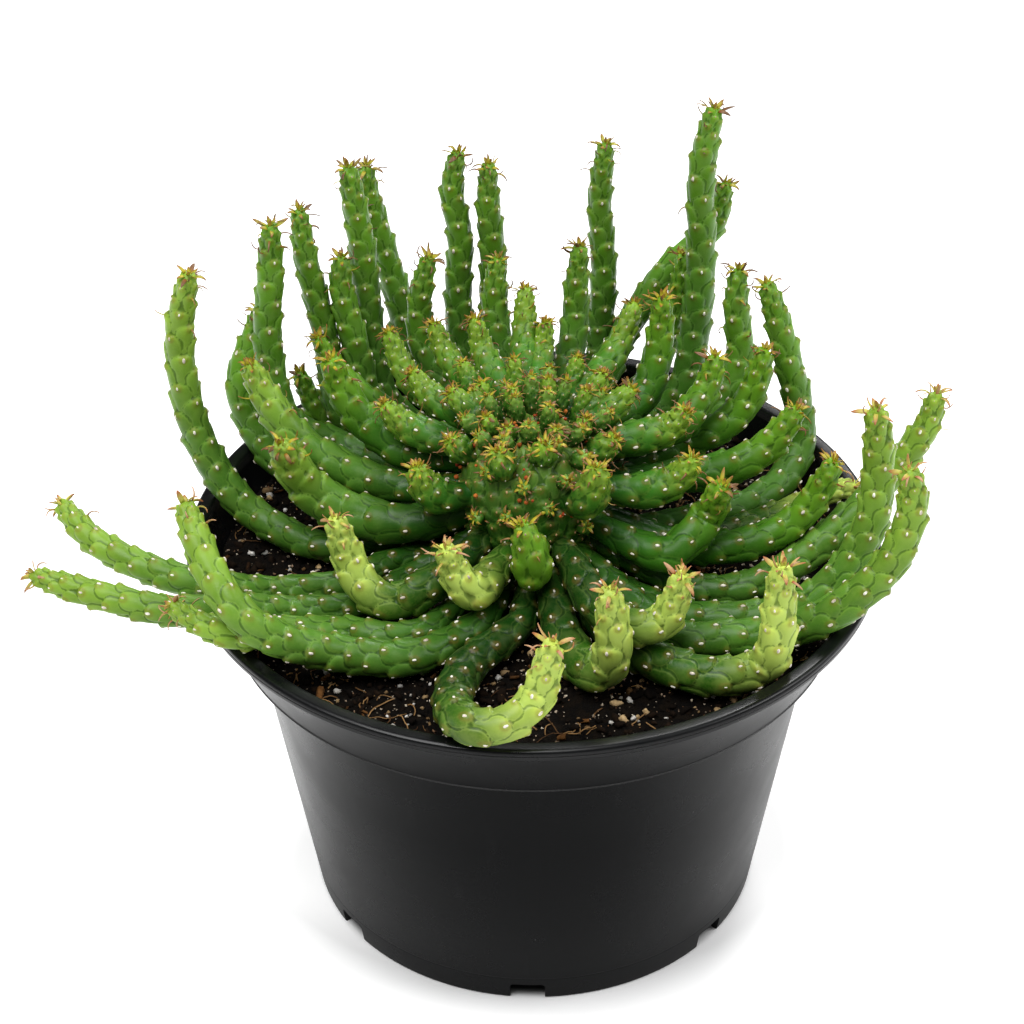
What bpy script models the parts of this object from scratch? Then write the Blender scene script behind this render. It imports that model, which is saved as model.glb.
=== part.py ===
"""A potted euphorbia: a many-armed plant rooted in a filled round pot.

Every arm is a leafless green stem, closed with a rosette of small leaves and
covered with raised scales. Lengths in the tables are millimetres. The origin is
at the middle of the pot's underside, with +Z up and the front towards -Y.
"""

import math

import bmesh
import bpy
import numpy as np
from mathutils import Vector
from mathutils.bvhtree import BVHTree

MM = 0.001
GAP = 0.35
SEAT_GAP = 0.5

POT_HEIGHT = 124.0
RIM_RADIUS = 102.0
LIP_WIDTH = 4.5
LIP_DEPTH = 3.5
COLLAR_DEPTH = 23.4
COLLAR_RADIUS = 90.8
STEP_RISE = 0.4
SHOULDER_RADIUS = 84.9
BASE_RADIUS = 69.8
WALL = 1.7
FLOOR = 6.5
FOOT_WIDTH = 2.2
FOOT_HEIGHT = 4.9
BOSS_RADIUS = 24.0
TURNED_SIDES = 36

NOTCHES = 7
NOTCH_WIDTH = 10.5
NOTCH_HEIGHT = 4.6
NOTCH_DEPTH = 4.0
FIRST_NOTCH_BEARING = -92.0

SOIL_TOP = 112.6
SOIL_RELIEF = 0.7
SOIL_CREST = SOIL_TOP + 2 * SOIL_RELIEF
STEM_RADIUS = 16.5
STEM_DEPTH = 28.0

CROWN_RADIUS = 21.0
CROWN_TOP = 158.0
CROWN_WIDEST = 138.0
CROWN_SIDES = 16
CROWN_RELIEF = 0.9

ARM_SIDES = 6
SCALE_PITCH = 7.2
VALLEY = 0.8
ROOT_GIRTH = 0.72
LEAF_ROW = 2.4
LEAF_LENGTH = 5.0
YOUNG_LEAF_LENGTH = 3.2
COURSE_STEP = 5.0
ROUNDS = 160

GREEN_BACK = (0.085, 0.200, 0.060)
GREEN_MIDDLE = (0.090, 0.260, 0.045)
GREEN_FRONT = (0.230, 0.420, 0.085)
GREEN_CROWN = (0.095, 0.210, 0.070)

# Each arm: tone, greatest width, and the points of its course from the crown to
# the tip as (bearing in degrees from +X towards +Y, distance from the axis, height).
ARMS = {
    "left_1": ("middle", 9.6, [(178, 12, 126), (180, 46, 119), (-178, 63, 118.5), (173, 82, 120),
                               (170, 95, 131), (169, 103, 151), (168, 105, 176), (167, 100, 200)]),
    "left_2": ("front", 9.4, [(-174, 12, 119), (-169, 40, 118.5), (-160, 59, 118.5), (-160, 80, 121),
                              (-158, 97, 130), (-162, 111, 133), (-169, 127, 137), (-176, 138, 142)]),
    "left_3": ("front", 9.4, [(-160, 12, 127), (-155, 38, 118.5), (-148, 58, 118.5), (-152, 77, 120),
                              (-151, 97, 129), (-153, 113, 132), (-159, 131, 135), (-164, 148, 138)]),
    "left_4": ("middle", 12.4, [(-173, 10, 136), (178, 33, 129), (174, 49, 130), (174, 60, 136),
                                (176, 67, 147), (-179, 70, 160)]),
    "left_5": ("middle", 10.6, [(165, 10, 137), (172, 43, 136), (170, 64, 142), (169, 74, 150),
                               (167, 81, 159), (166, 86, 170)]),
    "left_6": ("front", 9.0, [(-135, 12, 119), (-120, 35, 118.5), (-124, 57, 118.5), (-139, 70, 118.5),
                              (-144, 87, 122), (-142, 102, 129.5), (-147, 110, 133), (-151, 115, 137)]),
    "left_7": ("front", 10.4, [(-118, 12, 119), (-108, 33, 119), (-112, 47, 118.5), (-122, 64, 118.5),
                              (-133, 76, 120), (-139, 93, 129), (-142, 102, 138.5), (-149, 104, 147),
                              (-160, 104, 160)]),
    "back_1": ("back", 9.4, [(166, 12, 119), (153, 40, 118.5), (155, 59, 118.5), (154, 86, 120),
                             (152, 100, 130), (151, 104, 143), (147, 103, 156), (145, 101, 167)]),
    "back_2": ("back", 9.2, [(156, 12, 127), (146, 45, 126), (148, 70, 129), (154, 83, 139),
                             (153, 89, 161), (151, 88, 190), (151, 87, 205)]),
    "back_3": ("back", 8.6, [(146, 12, 119), (142, 35, 119), (144, 50, 118.5), (140, 64, 118.5),
                             (138, 81, 120), (140, 86, 130), (142, 92, 147)]),
    "back_4": ("back", 8.6, [(136, 12, 127), (124, 40, 119), (131, 65, 119), (140, 77, 129),
                             (139, 83, 160), (140, 87, 183), (140, 89, 202)]),
    "back_5": ("middle", 10.6, [(163, 8, 145), (167, 33, 142), (164, 44, 146), (162, 53, 152),
                               (161, 59, 161), (163, 61, 172)]),
    "back_6": ("middle", 7.8, [(140, 8, 143), (137, 45, 138), (143, 66, 148), (143, 77, 156),
                               (144, 81, 164)]),
    "back_7": ("back", 9.2, [(130, 10, 135), (128, 45, 128), (130, 62, 128), (135, 73, 136),
                             (136, 78, 154), (137, 82, 173), (136, 82, 186)]),
    "back_8": ("back", 9.2, [(126, 12, 119), (113, 45, 119), (119, 66, 119), (127, 76, 131),
                             (128, 81, 150), (128, 84, 181), (129, 85, 198), (130, 86, 212)]),
    "back_9": ("back", 9.0, [(116, 12, 127), (104, 48, 121), (109, 76, 119.5), (115, 86, 129),
                             (117, 92, 154), (119, 96, 173), (121, 98, 192), (121, 98, 203)]),
    "back_10": ("back", 8.6, [(116, 8, 143), (113, 36, 138), (115, 57, 138), (119, 68, 149),
                              (119, 71, 162), (118, 70, 173), (116, 69, 183)]),
    "back_11": ("back", 9.0, [(106, 12, 119), (100, 50, 119), (102, 77, 119), (105, 85, 127),
                              (105, 89, 152), (104, 89, 173), (105, 89, 191), (103, 88, 206)]),
    "back_12": ("back", 9.0, [(96, 12, 127), (93, 50, 122), (96, 77, 120), (98, 85, 128),
                              (99, 87, 148), (99, 87, 170), (100, 87, 186), (100, 87, 203)]),
    "back_13": ("back", 9.0, [(96, 8, 144), (98, 35, 143), (99, 49, 149), (99, 57, 162),
                              (98, 59, 173), (96, 60, 182)]),
    "back_14": ("back", 8.8, [(86, 12, 119), (80, 50, 119), (77, 79, 119.5), (74, 86, 129),
                              (74, 89, 157), (75, 90, 172), (76, 91, 186), (75, 91, 208)]),
    "back_15": ("back", 8.6, [(80, 8, 144), (77, 32, 143), (79, 52, 146), (78, 61, 158),
                              (78, 63, 169), (77, 65, 186)]),
    "right_1": ("back", 8.8, [(75, 10, 135), (74, 48, 131), (73, 73, 133), (71, 87, 143),
                              (63, 96, 162), (57, 104, 174), (55, 106, 193)]),
    "right_2": ("back", 8.0, [(66, 12, 119), (70, 50, 119), (69, 80, 120), (65, 91, 127),
                              (62, 96, 144), (61, 98, 162), (61, 99, 172)]),
    "right_3": ("back", 9.6, [(56, 12, 127), (64, 45, 119), (62, 76, 120), (57, 85, 129),
                              (57, 91, 148), (57, 93, 177), (57, 93, 201), (55, 95, 225)]),
    "right_4": ("middle", 9.6, [(48, 8, 145), (44, 40, 148), (46, 51, 156), (48, 56, 168),
                                (48, 56, 180)]),
    "right_5": ("back", 9.4, [(45, 12, 119), (50, 42, 124), (50, 66, 123), (42, 75, 132),
                              (41, 84, 148), (43, 85, 164), (44, 87, 180)]),
    "right_6": ("back", 9.4, [(3, 12, 119), (11, 51, 118.5), (13, 67, 119), (20, 83, 122),
                              (25, 91, 133), (29, 86, 163), (32, 81, 184)]),
    "right_7": ("middle", 9.8, [(36, 10, 137), (30, 46, 136), (26, 61, 141), (25, 71, 150),
                                (25, 76, 168)]),
    "right_8": ("middle", 9.8, [(26, 8, 146), (22, 39, 148), (25, 51, 153), (27, 57, 160),
                                (28, 59, 169)]),
    "right_9": ("middle", 10.4, [(15, 10, 137), (6, 43, 139), (4, 58, 143), (5, 69, 150),
                                (5, 77, 163)]),
    "right_10": ("middle", 9.8, [(-20, 10, 135), (-18, 40, 127), (-14, 59, 127), (-8, 74, 131),
                                 (-6, 82, 141), (-6, 87, 155)]),
    "right_11": ("front", 9.0, [(-19, 12, 119), (6, 44, 118.5), (10, 63, 118.5), (12, 81, 122),
                                (10, 91, 128), (9, 99, 130)]),
    "right_12": ("front", 10.4, [(-43, 12, 119), (-44, 50, 118.5), (-37, 66, 118.5), (-28, 82, 121),
                                (-22, 93, 131), (-18, 99, 147), (-16, 99, 166), (-17, 97, 185)]),
    "right_13": ("front", 9.8, [(-31, 12, 127), (-27, 48, 119), (-21, 65, 119), (-10, 80, 124),
                                (-4, 94, 134), (2, 105, 141), (3, 114, 155), (4, 117, 168)]),
    "right_14": ("front", 10.4, [(-53, 12, 126), (-55, 58, 118.5), (-44, 73, 118.5), (-35, 87, 121),
                                (-31, 100, 131), (-27, 110, 146), (-25, 113, 163), (-26, 111, 178)]),
    "right_15": ("middle", 10.4, [(-40, 10, 136), (-32, 39, 130), (-22, 46, 132), (-14, 51, 138),
                                 (-20, 56, 153)]),
    "front_1": ("front", 11.0, [(-61, 12, 119), (-62, 46, 118.5), (-58, 66, 118.5), (-52, 81, 119),
                               (-46, 89, 122), (-45, 93, 132), (-45, 93, 146), (-45, 93, 160)]),
    "front_2": ("front", 10.6, [(-71, 12, 128), (-70, 38, 124), (-66, 52, 121), (-61, 62, 121),
                               (-55, 66, 125), (-52, 69, 142)]),
    "front_3": ("front", 11.2, [(-80, 12, 123), (-82, 31, 123), (-81, 46, 120), (-77, 62, 119.5),
                                (-73, 67, 123), (-72, 69, 133), (-73, 68, 153)]),
    "front_4": ("front", 10.6, [(-99, 12, 119), (-95, 33, 118.5), (-103, 45, 118.5), (-109, 60, 118.5),
                               (-107, 79, 121), (-101, 100, 130), (-95, 102, 132), (-90, 97, 137),
                               (-88, 96, 148), (-87, 95, 157)]),
    "front_5": ("middle", 11.2, [(-89, 10, 133), (-90, 29, 131), (-91, 31, 139), (-97, 30, 150)]),
    "front_6": ("front", 10.8, [(-106, 12, 129), (-111, 32, 127), (-113, 42, 129), (-119, 44, 137),
                               (-121, 46, 147)]),
    "front_7": ("front", 10.8, [(-140, 12, 130), (-131, 38, 126), (-136, 52, 123), (-143, 58, 126),
                               (-150, 60, 135), (-152, 63, 150)]),
}

# Young arms that are still part of the crown: width, then the same course.
SHORT_ARMS = [
    (10.0, [(165, 8, 148), (163, 30, 150), (163, 40, 153), (163, 47, 161)]),
    (9.4, [(140, 8, 150), (140, 28, 152), (140, 40, 154), (140, 49, 161)]),
    (9.0, [(150, 6, 148), (150, 18, 156), (150, 30, 164)]),
    (9.8, [(-176, 6, 146), (-176, 18, 150), (-176, 26, 158)]),
    (10.8, [(-150, 8, 142), (-160, 26, 141), (-163, 33, 146), (-163, 35, 155)]),
    (10.0, [(-115, 4, 148), (-120, 16, 153), (-123, 19, 164)]),
    (9.4, [(-76, 4, 150), (-76, 12, 156), (-76, 15, 165)]),
    (10.8, [(-60, 6, 142), (-56, 24, 146), (-54, 29, 154), (-54, 30, 164)]),
    (9.6, [(-14, 6, 148), (-14, 18, 153), (-14, 26, 161)]),
    (9.4, [(28, 6, 150), (28, 22, 155), (28, 35, 164)]),
    (10.4, [(10, 6, 148), (9, 30, 152), (8, 40, 155), (7, 46, 163)]),
    (10.6, [(-18, 8, 143), (-18, 30, 143), (-13, 42, 147), (-12, 48, 157)]),
    (8.6, [(120, 6, 150), (120, 30, 153), (121, 50, 157), (122, 58, 168)]),
    (8.6, [(108, 6, 152), (109, 30, 155), (110, 44, 160), (111, 50, 171)]),
    (8.6, [(88, 6, 152), (88, 30, 155), (86, 44, 160), (85, 48, 169)]),
    (8.6, [(60, 6, 152), (60, 30, 155), (59, 50, 160), (59, 62, 172)]),
    (9.0, [(50, 6, 150), (50, 24, 154), (50, 34, 164)]),
    (8.6, [(98, 4, 152), (96, 26, 155), (93, 46, 161), (92, 58, 175)]),
    (8.6, [(134, 6, 148), (134, 34, 148), (134, 54, 152), (133, 65, 166)]),
]

# The youngest tips on top of the crown, as (bearing, distance, height of the tip).
YOUNG_TIPS = [
    (123, 40, 163), (128, 26, 164), (102, 28, 168), (117, 14, 167), (66, 34, 166),
    (41, 22, 165), (76, 20, 166), (180, 14, 165), (-38, 9, 164), (0, 16, 164),
    (-150, 9, 164), (30, 6, 165),
]
YOUNG_WIDTH = 6.4


def at(bearing, radius, height):
    """The point at this bearing and distance from the axis."""
    angle = math.radians(bearing)
    return np.array([radius * math.cos(angle), radius * math.sin(angle), height])


def smooth_course(points, step=COURSE_STEP):
    """Points every step along a Catmull-Rom curve through the given points."""
    knots = np.array([at(*point) for point in points])
    ends = [2 * knots[0] - knots[1]], [2 * knots[-1] - knots[-2]]
    knots = np.vstack([ends[0], knots, ends[1]])
    fine = []
    for a, b, c, d in zip(knots, knots[1:], knots[2:], knots[3:]):
        for t in np.linspace(0, 1, 16, endpoint=False):
            fine.append(0.5 * (2 * b + (c - a) * t + (2 * a - 5 * b + 4 * c - d) * t**2
                               + (3 * b - a - 3 * c + d) * t**3))
    fine.append(knots[-2])
    return evenly_spaced(np.array(fine), step)


def evenly_spaced(line, step):
    """The same line with its points about one step apart."""
    along = np.r_[0, np.cumsum(np.linalg.norm(np.diff(line, axis=0), axis=1))]
    places = np.linspace(0, along[-1], max(4, round(along[-1] / step) + 1))
    return np.stack([np.interp(places, along, line[:, axis]) for axis in range(3)], axis=1)


def girth(share):
    """The arm's width at this share of its length, against its greatest width."""
    root = ROOT_GIRTH + (1 - ROOT_GIRTH) * min(1.0, share / 0.35)
    tip = 1 - 0.22 * max(0.0, (share - 0.55) / 0.45)
    return root * tip


def crown_radius(height):
    """The radius of the crown's smooth form at this height."""
    if height >= CROWN_WIDEST:
        share = min(1.0, (height - CROWN_WIDEST) / (CROWN_TOP - CROWN_WIDEST))
        return CROWN_RADIUS * (1 - share**2.3) ** (1 / 2.3)
    share = min(1.0, (CROWN_WIDEST - height) / (CROWN_WIDEST - SOIL_TOP))
    return CROWN_RADIUS + (STEM_RADIUS - CROWN_RADIUS) * share**1.8


def keep_off(points, radii, easing):
    """How far to move arm points off the soil, the pot's rim and the crown."""
    move = np.zeros_like(points)
    sunk = SOIL_TOP + SOIL_RELIEF + GAP + radii - points[:, 2]
    move[:, 2] += np.maximum(0, sunk)
    out = np.linalg.norm(points[:, :2], axis=1)
    flat = points[:, :2] / np.maximum(out, 1e-6)[:, None]
    rim = np.stack([out - (RIM_RADIUS - LIP_WIDTH / 2), points[:, 2] - POT_HEIGHT + LIP_DEPTH / 2], 1)
    away = np.linalg.norm(rim, axis=1)
    near = np.maximum(0, radii + LIP_WIDTH / 2 + GAP + 0.4 - away) / np.maximum(away, 1e-6)
    move[:, :2] += flat * (rim[:, 0] * near)[:, None]
    move[:, 2] += rim[:, 1] * near
    inner = COLLAR_RADIUS + (points[:, 2] - POT_HEIGHT + COLLAR_DEPTH) * 0.49 - WALL - radii - 2 * GAP
    deep = np.where(points[:, 2] < POT_HEIGHT, np.maximum(0, out - inner) * (out < RIM_RADIUS), 0)
    move[:, :2] -= flat * deep[:, None]
    dome = np.array([crown_radius(height) for height in points[:, 2]]) + radii * easing + GAP
    inside = np.maximum(0, dome - out) * (points[:, 2] < CROWN_TOP)
    move[:, :2] += flat * inside[:, None]
    return move


def part_ways(courses, widths, fixed):
    """Moves the arms' courses until no two arms touch, and none sinks into anything."""
    owner = np.concatenate([[n] * len(course) for n, course in enumerate(courses)])
    start = np.concatenate(courses)
    held = np.array(fixed)[owner]
    radii = []
    ease = []
    for course, width in zip(courses, widths):
        shares = np.linspace(0, 1, len(course))
        radii.append([width / 2 * girth(share) + (1.0 if share > 0.9 else 0.0) for share in shares])
        travelled = np.arange(len(course)) * COURSE_STEP
        ease.append(np.clip((travelled - 2) / 12, 0, 1))
    radii = np.concatenate(radii)
    ease = np.concatenate(ease)
    loose = np.where(held, 0, ease)
    points = start.copy()
    other = owner[:, None] != owner[None, :]
    other &= ~(held[:, None] & held[None, :])
    reach = (radii[:, None] + radii[None, :] + 2 * GAP) * other
    share_of = np.where(held[None, :], 1.0, 0.5)
    for _ in range(ROUNDS):
        apart = points[:, None] - points[None, :]
        distance = np.linalg.norm(apart, axis=2) + 1e-9
        push = np.maximum(0, reach - distance) / distance * share_of
        move = (apart * push[:, :, None]).sum(axis=1) * 0.6
        move += keep_off(points, radii, ease) * 0.8
        move *= loose[:, None]
        for n in range(len(courses)):
            mine = owner == n
            moved = (points + move - start)[mine]
            even = moved.copy()
            even[1:-1] = 0.25 * moved[:-2] + 0.5 * moved[1:-1] + 0.25 * moved[2:]
            even[-1] = 0.5 * moved[-2] + 0.5 * moved[-1]
            points[mine] = start[mine] + even * (loose[mine] > 0)[:, None]
    return [points[owner == n] for n in range(len(courses))]


def shortened(line, cut):
    """The line without its last stretch of this length."""
    along = np.r_[0, np.cumsum(np.linalg.norm(np.diff(line, axis=0), axis=1))]
    places = np.linspace(0, along[-1] - cut, len(line))
    return np.stack([np.interp(places, along, line[:, axis]) for axis in range(3)], axis=1)


def frames(line):
    """An unturned frame at each point of the line: tangent, side and up."""
    tangents = np.gradient(line, axis=0)
    tangents /= np.linalg.norm(tangents, axis=1)[:, None]
    side = np.cross(tangents[0], (0, 0, 1.0))
    if np.linalg.norm(side) < 0.1:
        side = np.cross(tangents[0], (0, 1.0, 0))
    sides = []
    for tangent in tangents:
        side = side - tangent * side.dot(tangent)
        side /= np.linalg.norm(side)
        sides.append(side)
    sides = np.array(sides)
    return tangents, sides, np.cross(tangents, sides)


def leave_crown(line):
    """The line from the place where it comes out of the crown."""
    fine = evenly_spaced(line, 1.0)
    out = np.linalg.norm(fine[:, :2], axis=1)
    clear = [distance > crown_radius(point[2]) + GAP for distance, point in zip(out, fine)]
    return fine[clear.index(True):]


def onto_crown(corner, along, seat):
    """The corner slid along its arm until it lies just off the crown."""
    for step in np.linspace(-9, 9, 181):
        point = Vector(corner + along * step)
        nearest, normal, _, distance = seat.find_nearest(point)
        if distance > SEAT_GAP and (point - nearest).dot(normal) > 0:
            return point
    return corner


def green_skin(name):
    """A closed six-sided tube of unit length along Z, ready to be bent."""
    mesh = bpy.data.meshes.new(name)
    tube = bmesh.new()
    bmesh.ops.create_cone(tube, cap_ends=True, cap_tris=True, segments=ARM_SIDES,
                          radius1=1, radius2=1, depth=1)
    return mesh, tube


def bend_to(tube, line, width, seat, leaf_length):
    """Bends the tube along the line, raises its scales and draws out its leaves."""
    length = np.linalg.norm(np.diff(line, axis=0), axis=1).sum()
    even_rows = max(2, round((length - 2 * LEAF_ROW) / SCALE_PITCH))
    pitch = (length - 2 * LEAF_ROW) / even_rows
    rows = even_rows + 2
    heights = np.r_[np.arange(even_rows + 1) * pitch, length - LEAF_ROW, length]
    along = np.r_[0, np.cumsum(np.linalg.norm(np.diff(line, axis=0), axis=1))]
    line = np.stack([np.interp(heights, along, line[:, axis]) for axis in range(3)], axis=1)
    tangents, sides, ups = frames(line)
    long_edges = [edge for edge in tube.edges if abs(edge.verts[0].co.z - edge.verts[1].co.z) > 0.5]
    bmesh.ops.subdivide_edges(tube, edges=long_edges, cuts=rows - 1)
    peaks = set()
    for vertex in tube.verts:
        row = round((vertex.co.z + 0.5) * rows)
        middle = line[row]
        if math.hypot(vertex.co.x, vertex.co.y) < 0.1:
            shift = 0.0 if row == 0 else 1.2
            point = middle + tangents[row] * shift
            if row == 0 and seat:
                point = onto_crown(middle, tangents[0], seat)
            vertex.co = point
            continue
        turn = math.atan2(vertex.co.y, vertex.co.x)
        column = round(turn / math.tau * ARM_SIDES) % ARM_SIDES
        raised = (row + column) % 2 == 0 and row > 0
        radius = width / 2 * girth(heights[row] / length) * (1.0 if raised else VALLEY)
        if row == rows - 1:
            radius = width / 2 * 0.66
        if row == rows:
            radius = width / 2 * 0.36
        if row == 0:
            radius = width / 2 * ROOT_GIRTH * 0.9
        point = middle + (sides[row] * math.cos(turn) + ups[row] * math.sin(turn)) * radius
        if raised and row <= even_rows:
            point = point + tangents[row] * SCALE_PITCH * 0.2
            peaks.add(vertex)
        if row == 0 and seat:
            point = onto_crown(point, tangents[0], seat)
        vertex.co = point
    tip = line[-1]
    draw_leaves(tube, tip, tangents[-1], leaf_length)
    for face in [face for face in tube.faces if len(face.verts) == 4]:
        low = [vertex for vertex in face.verts if vertex not in peaks]
        if len(low) == 2 and not any(set(edge.verts) == set(low) for edge in face.edges):
            bmesh.utils.face_split(face, low[0], low[1])
    bmesh.ops.triangulate(tube, faces=[face for face in tube.faces if len(face.verts) > 3])
    for vertex in tube.verts:
        vertex.co *= MM


def draw_leaves(tube, tip, tangent, leaf_length):
    """Draws a leaf out of every second face round the tip, and between them lower down."""
    quads = [face for face in tube.faces if len(face.verts) == 4]
    quads.sort(key=lambda face: -Vector(tangent).dot(face.calc_center_median() - Vector(tip)))
    rings = quads[:ARM_SIDES], quads[ARM_SIDES:2 * ARM_SIDES]
    for level, ring in enumerate(rings):
        middle = sum((face.calc_center_median() for face in ring), Vector()) / len(ring)
        ring = sorted(ring, key=lambda face: around(face, middle, tangent))
        for face in ring[level::2]:
            centre = face.calc_center_median()
            outward = (centre - middle).normalized()
            point = centre + (outward * 0.62 + Vector(tangent) * (0.8 - 0.3 * level)) * leaf_length
            drawn = bmesh.ops.extrude_discrete_faces(tube, faces=[face])["faces"][0]
            corners = list(drawn.verts)
            bmesh.ops.pointmerge(tube, verts=corners, merge_co=point)


def around(face, middle, tangent):
    """The face's angle about the tangent through the middle."""
    axis = Vector(tangent)
    side = axis.orthogonal().normalized()
    offset = face.calc_center_median() - middle
    return math.atan2(offset.dot(axis.cross(side)), offset.dot(side))


def new_object(name, mesh, material, collection):
    """An object that carries the mesh and the material."""
    made = bpy.data.objects.new(name, mesh)
    mesh.materials.clear()
    mesh.materials.append(material)
    collection.objects.link(made)
    return made


def add_arm(name, line, width, material, collection, seat=None, leaf_length=LEAF_LENGTH):
    """One arm of the plant along the line, seated on the crown if one is given."""
    mesh, tube = green_skin(name)
    line = shortened(line, 0.6 * leaf_length)
    bend_to(tube, leave_crown(line) if seat else line, width, seat, leaf_length)
    bmesh.ops.recalc_face_normals(tube, faces=tube.faces)
    tube.to_mesh(mesh)
    tube.free()
    return new_object(name, mesh, material, collection)


def crown_body():
    """The crown with its low scales, and its stem in the soil, in millimetres."""
    body = bmesh.new()
    heights = [CROWN_TOP - 1.2, CROWN_TOP - 4.0, CROWN_TOP - 10.0, CROWN_TOP - 17.0, CROWN_WIDEST,
               CROWN_WIDEST - 8.0, CROWN_WIDEST - 15.0, SOIL_TOP + 4.5, SOIL_CREST]
    bottom = SOIL_TOP - STEM_DEPTH + GAP
    heights.append(bottom)
    rows = len(heights) + 1
    bmesh.ops.create_uvsphere(body, u_segments=CROWN_SIDES, v_segments=rows, radius=1)
    for vertex in body.verts:
        row = round(math.acos(max(-1.0, min(1.0, vertex.co.z))) / math.pi * rows)
        turn = math.atan2(vertex.co.y, vertex.co.x)
        if row in (0, rows):
            vertex.co = (0, 0, CROWN_TOP if row == 0 else bottom)
            continue
        height = heights[row - 1]
        radius = crown_radius(height) if height > SOIL_CREST else STEM_RADIUS
        column = round(turn / math.tau * CROWN_SIDES)
        if (row + column) % 2 and height > SOIL_CREST:
            radius -= CROWN_RELIEF
        vertex.co = (radius * math.cos(turn), radius * math.sin(turn), height)
    bmesh.ops.triangulate(body, faces=body.faces)
    bmesh.ops.recalc_face_normals(body, faces=body.faces)
    return body


def add_crown(short_courses, material, collection):
    """The crown on its stem, with the young arms and tips joined on."""
    mesh = bpy.data.meshes.new("crown")
    body = crown_body()
    for vertex in body.verts:
        vertex.co *= MM
    body.to_mesh(mesh)
    body.free()
    crown = new_object("crown", mesh, material, collection)
    young = bpy.data.collections.new("young_arms")
    bpy.context.scene.collection.children.link(young)
    for number, (line, (width, _)) in enumerate(zip(short_courses, SHORT_ARMS)):
        add_arm(f"young_arm_{number}", line, width, material, young, leaf_length=LEAF_LENGTH * 0.8)
    for number, (bearing, radius, height) in enumerate(YOUNG_TIPS):
        low = min(height - 9, CROWN_TOP - 6)
        line = np.linspace(at(bearing, radius * 0.75, low), at(bearing, radius, height), 4)
        add_arm(f"young_tip_{number}", line, YOUNG_WIDTH, material, young, leaf_length=YOUNG_LEAF_LENGTH)
    join = crown.modifiers.new("young_arms", "BOOLEAN")
    join.operation = "UNION"
    join.operand_type = "COLLECTION"
    join.collection = young
    join.solver = "EXACT"
    apply_modifiers(crown)
    drop_scraps(crown.data)
    for arm in list(young.objects):
        bpy.data.objects.remove(arm)
    bpy.data.collections.remove(young)


def drop_scraps(mesh):
    """Keeps the largest of the bodies that the joining left, and drops what only touches it."""
    body = bmesh.new()
    body.from_mesh(mesh)
    unseen = set(body.faces)
    bodies = []
    while unseen:
        found = {unseen.pop()}
        waiting = list(found)
        while waiting:
            face = waiting.pop()
            for edge in face.edges:
                if len(edge.link_faces) == 2:
                    fresh = set(edge.link_faces) - found
                    found |= fresh
                    waiting += fresh
        unseen -= found
        bodies.append(found)
    bodies.sort(key=len)
    for scrap in bodies[:-1]:
        bmesh.ops.delete(body, geom=list(scrap), context="FACES")
    body.to_mesh(mesh)
    body.free()


def apply_modifiers(made):
    """Puts the evaluated mesh in place of the object's own."""
    bpy.context.view_layer.update()
    graph = bpy.context.evaluated_depsgraph_get()
    mesh = bpy.data.meshes.new_from_object(made.evaluated_get(graph))
    made.modifiers.clear()
    made.data = mesh


def turned(name, profile, material, collection):
    """A body turned about Z from a profile of (radius, height) points."""
    mesh = bpy.data.meshes.new(name)
    points = [(radius * MM, 0, height * MM) for radius, height in profile]
    mesh.from_pydata(points, [(n, n + 1) for n in range(len(points) - 1)], [])
    made = new_object(name, mesh, material, collection)
    screw = made.modifiers.new("turn", "SCREW")
    screw.steps = TURNED_SIDES
    screw.render_steps = TURNED_SIDES
    screw.use_merge_vertices = True
    screw.merge_threshold = 0.00001
    apply_modifiers(made)
    return made


def wall_radius(height):
    """The pot's outer radius at this height, below the shoulder."""
    share = height / (POT_HEIGHT - COLLAR_DEPTH)
    return BASE_RADIUS + (SHOULDER_RADIUS - BASE_RADIUS) * share


def collar_inside(height):
    """The pot's inner radius at this height, between the shoulder and the lip."""
    low = POT_HEIGHT - COLLAR_DEPTH + WALL
    high = POT_HEIGHT - LIP_DEPTH
    share = (height - low) / (high - low)
    return COLLAR_RADIUS - WALL + (RIM_RADIUS - LIP_WIDTH - COLLAR_RADIUS + WALL) * share


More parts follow.
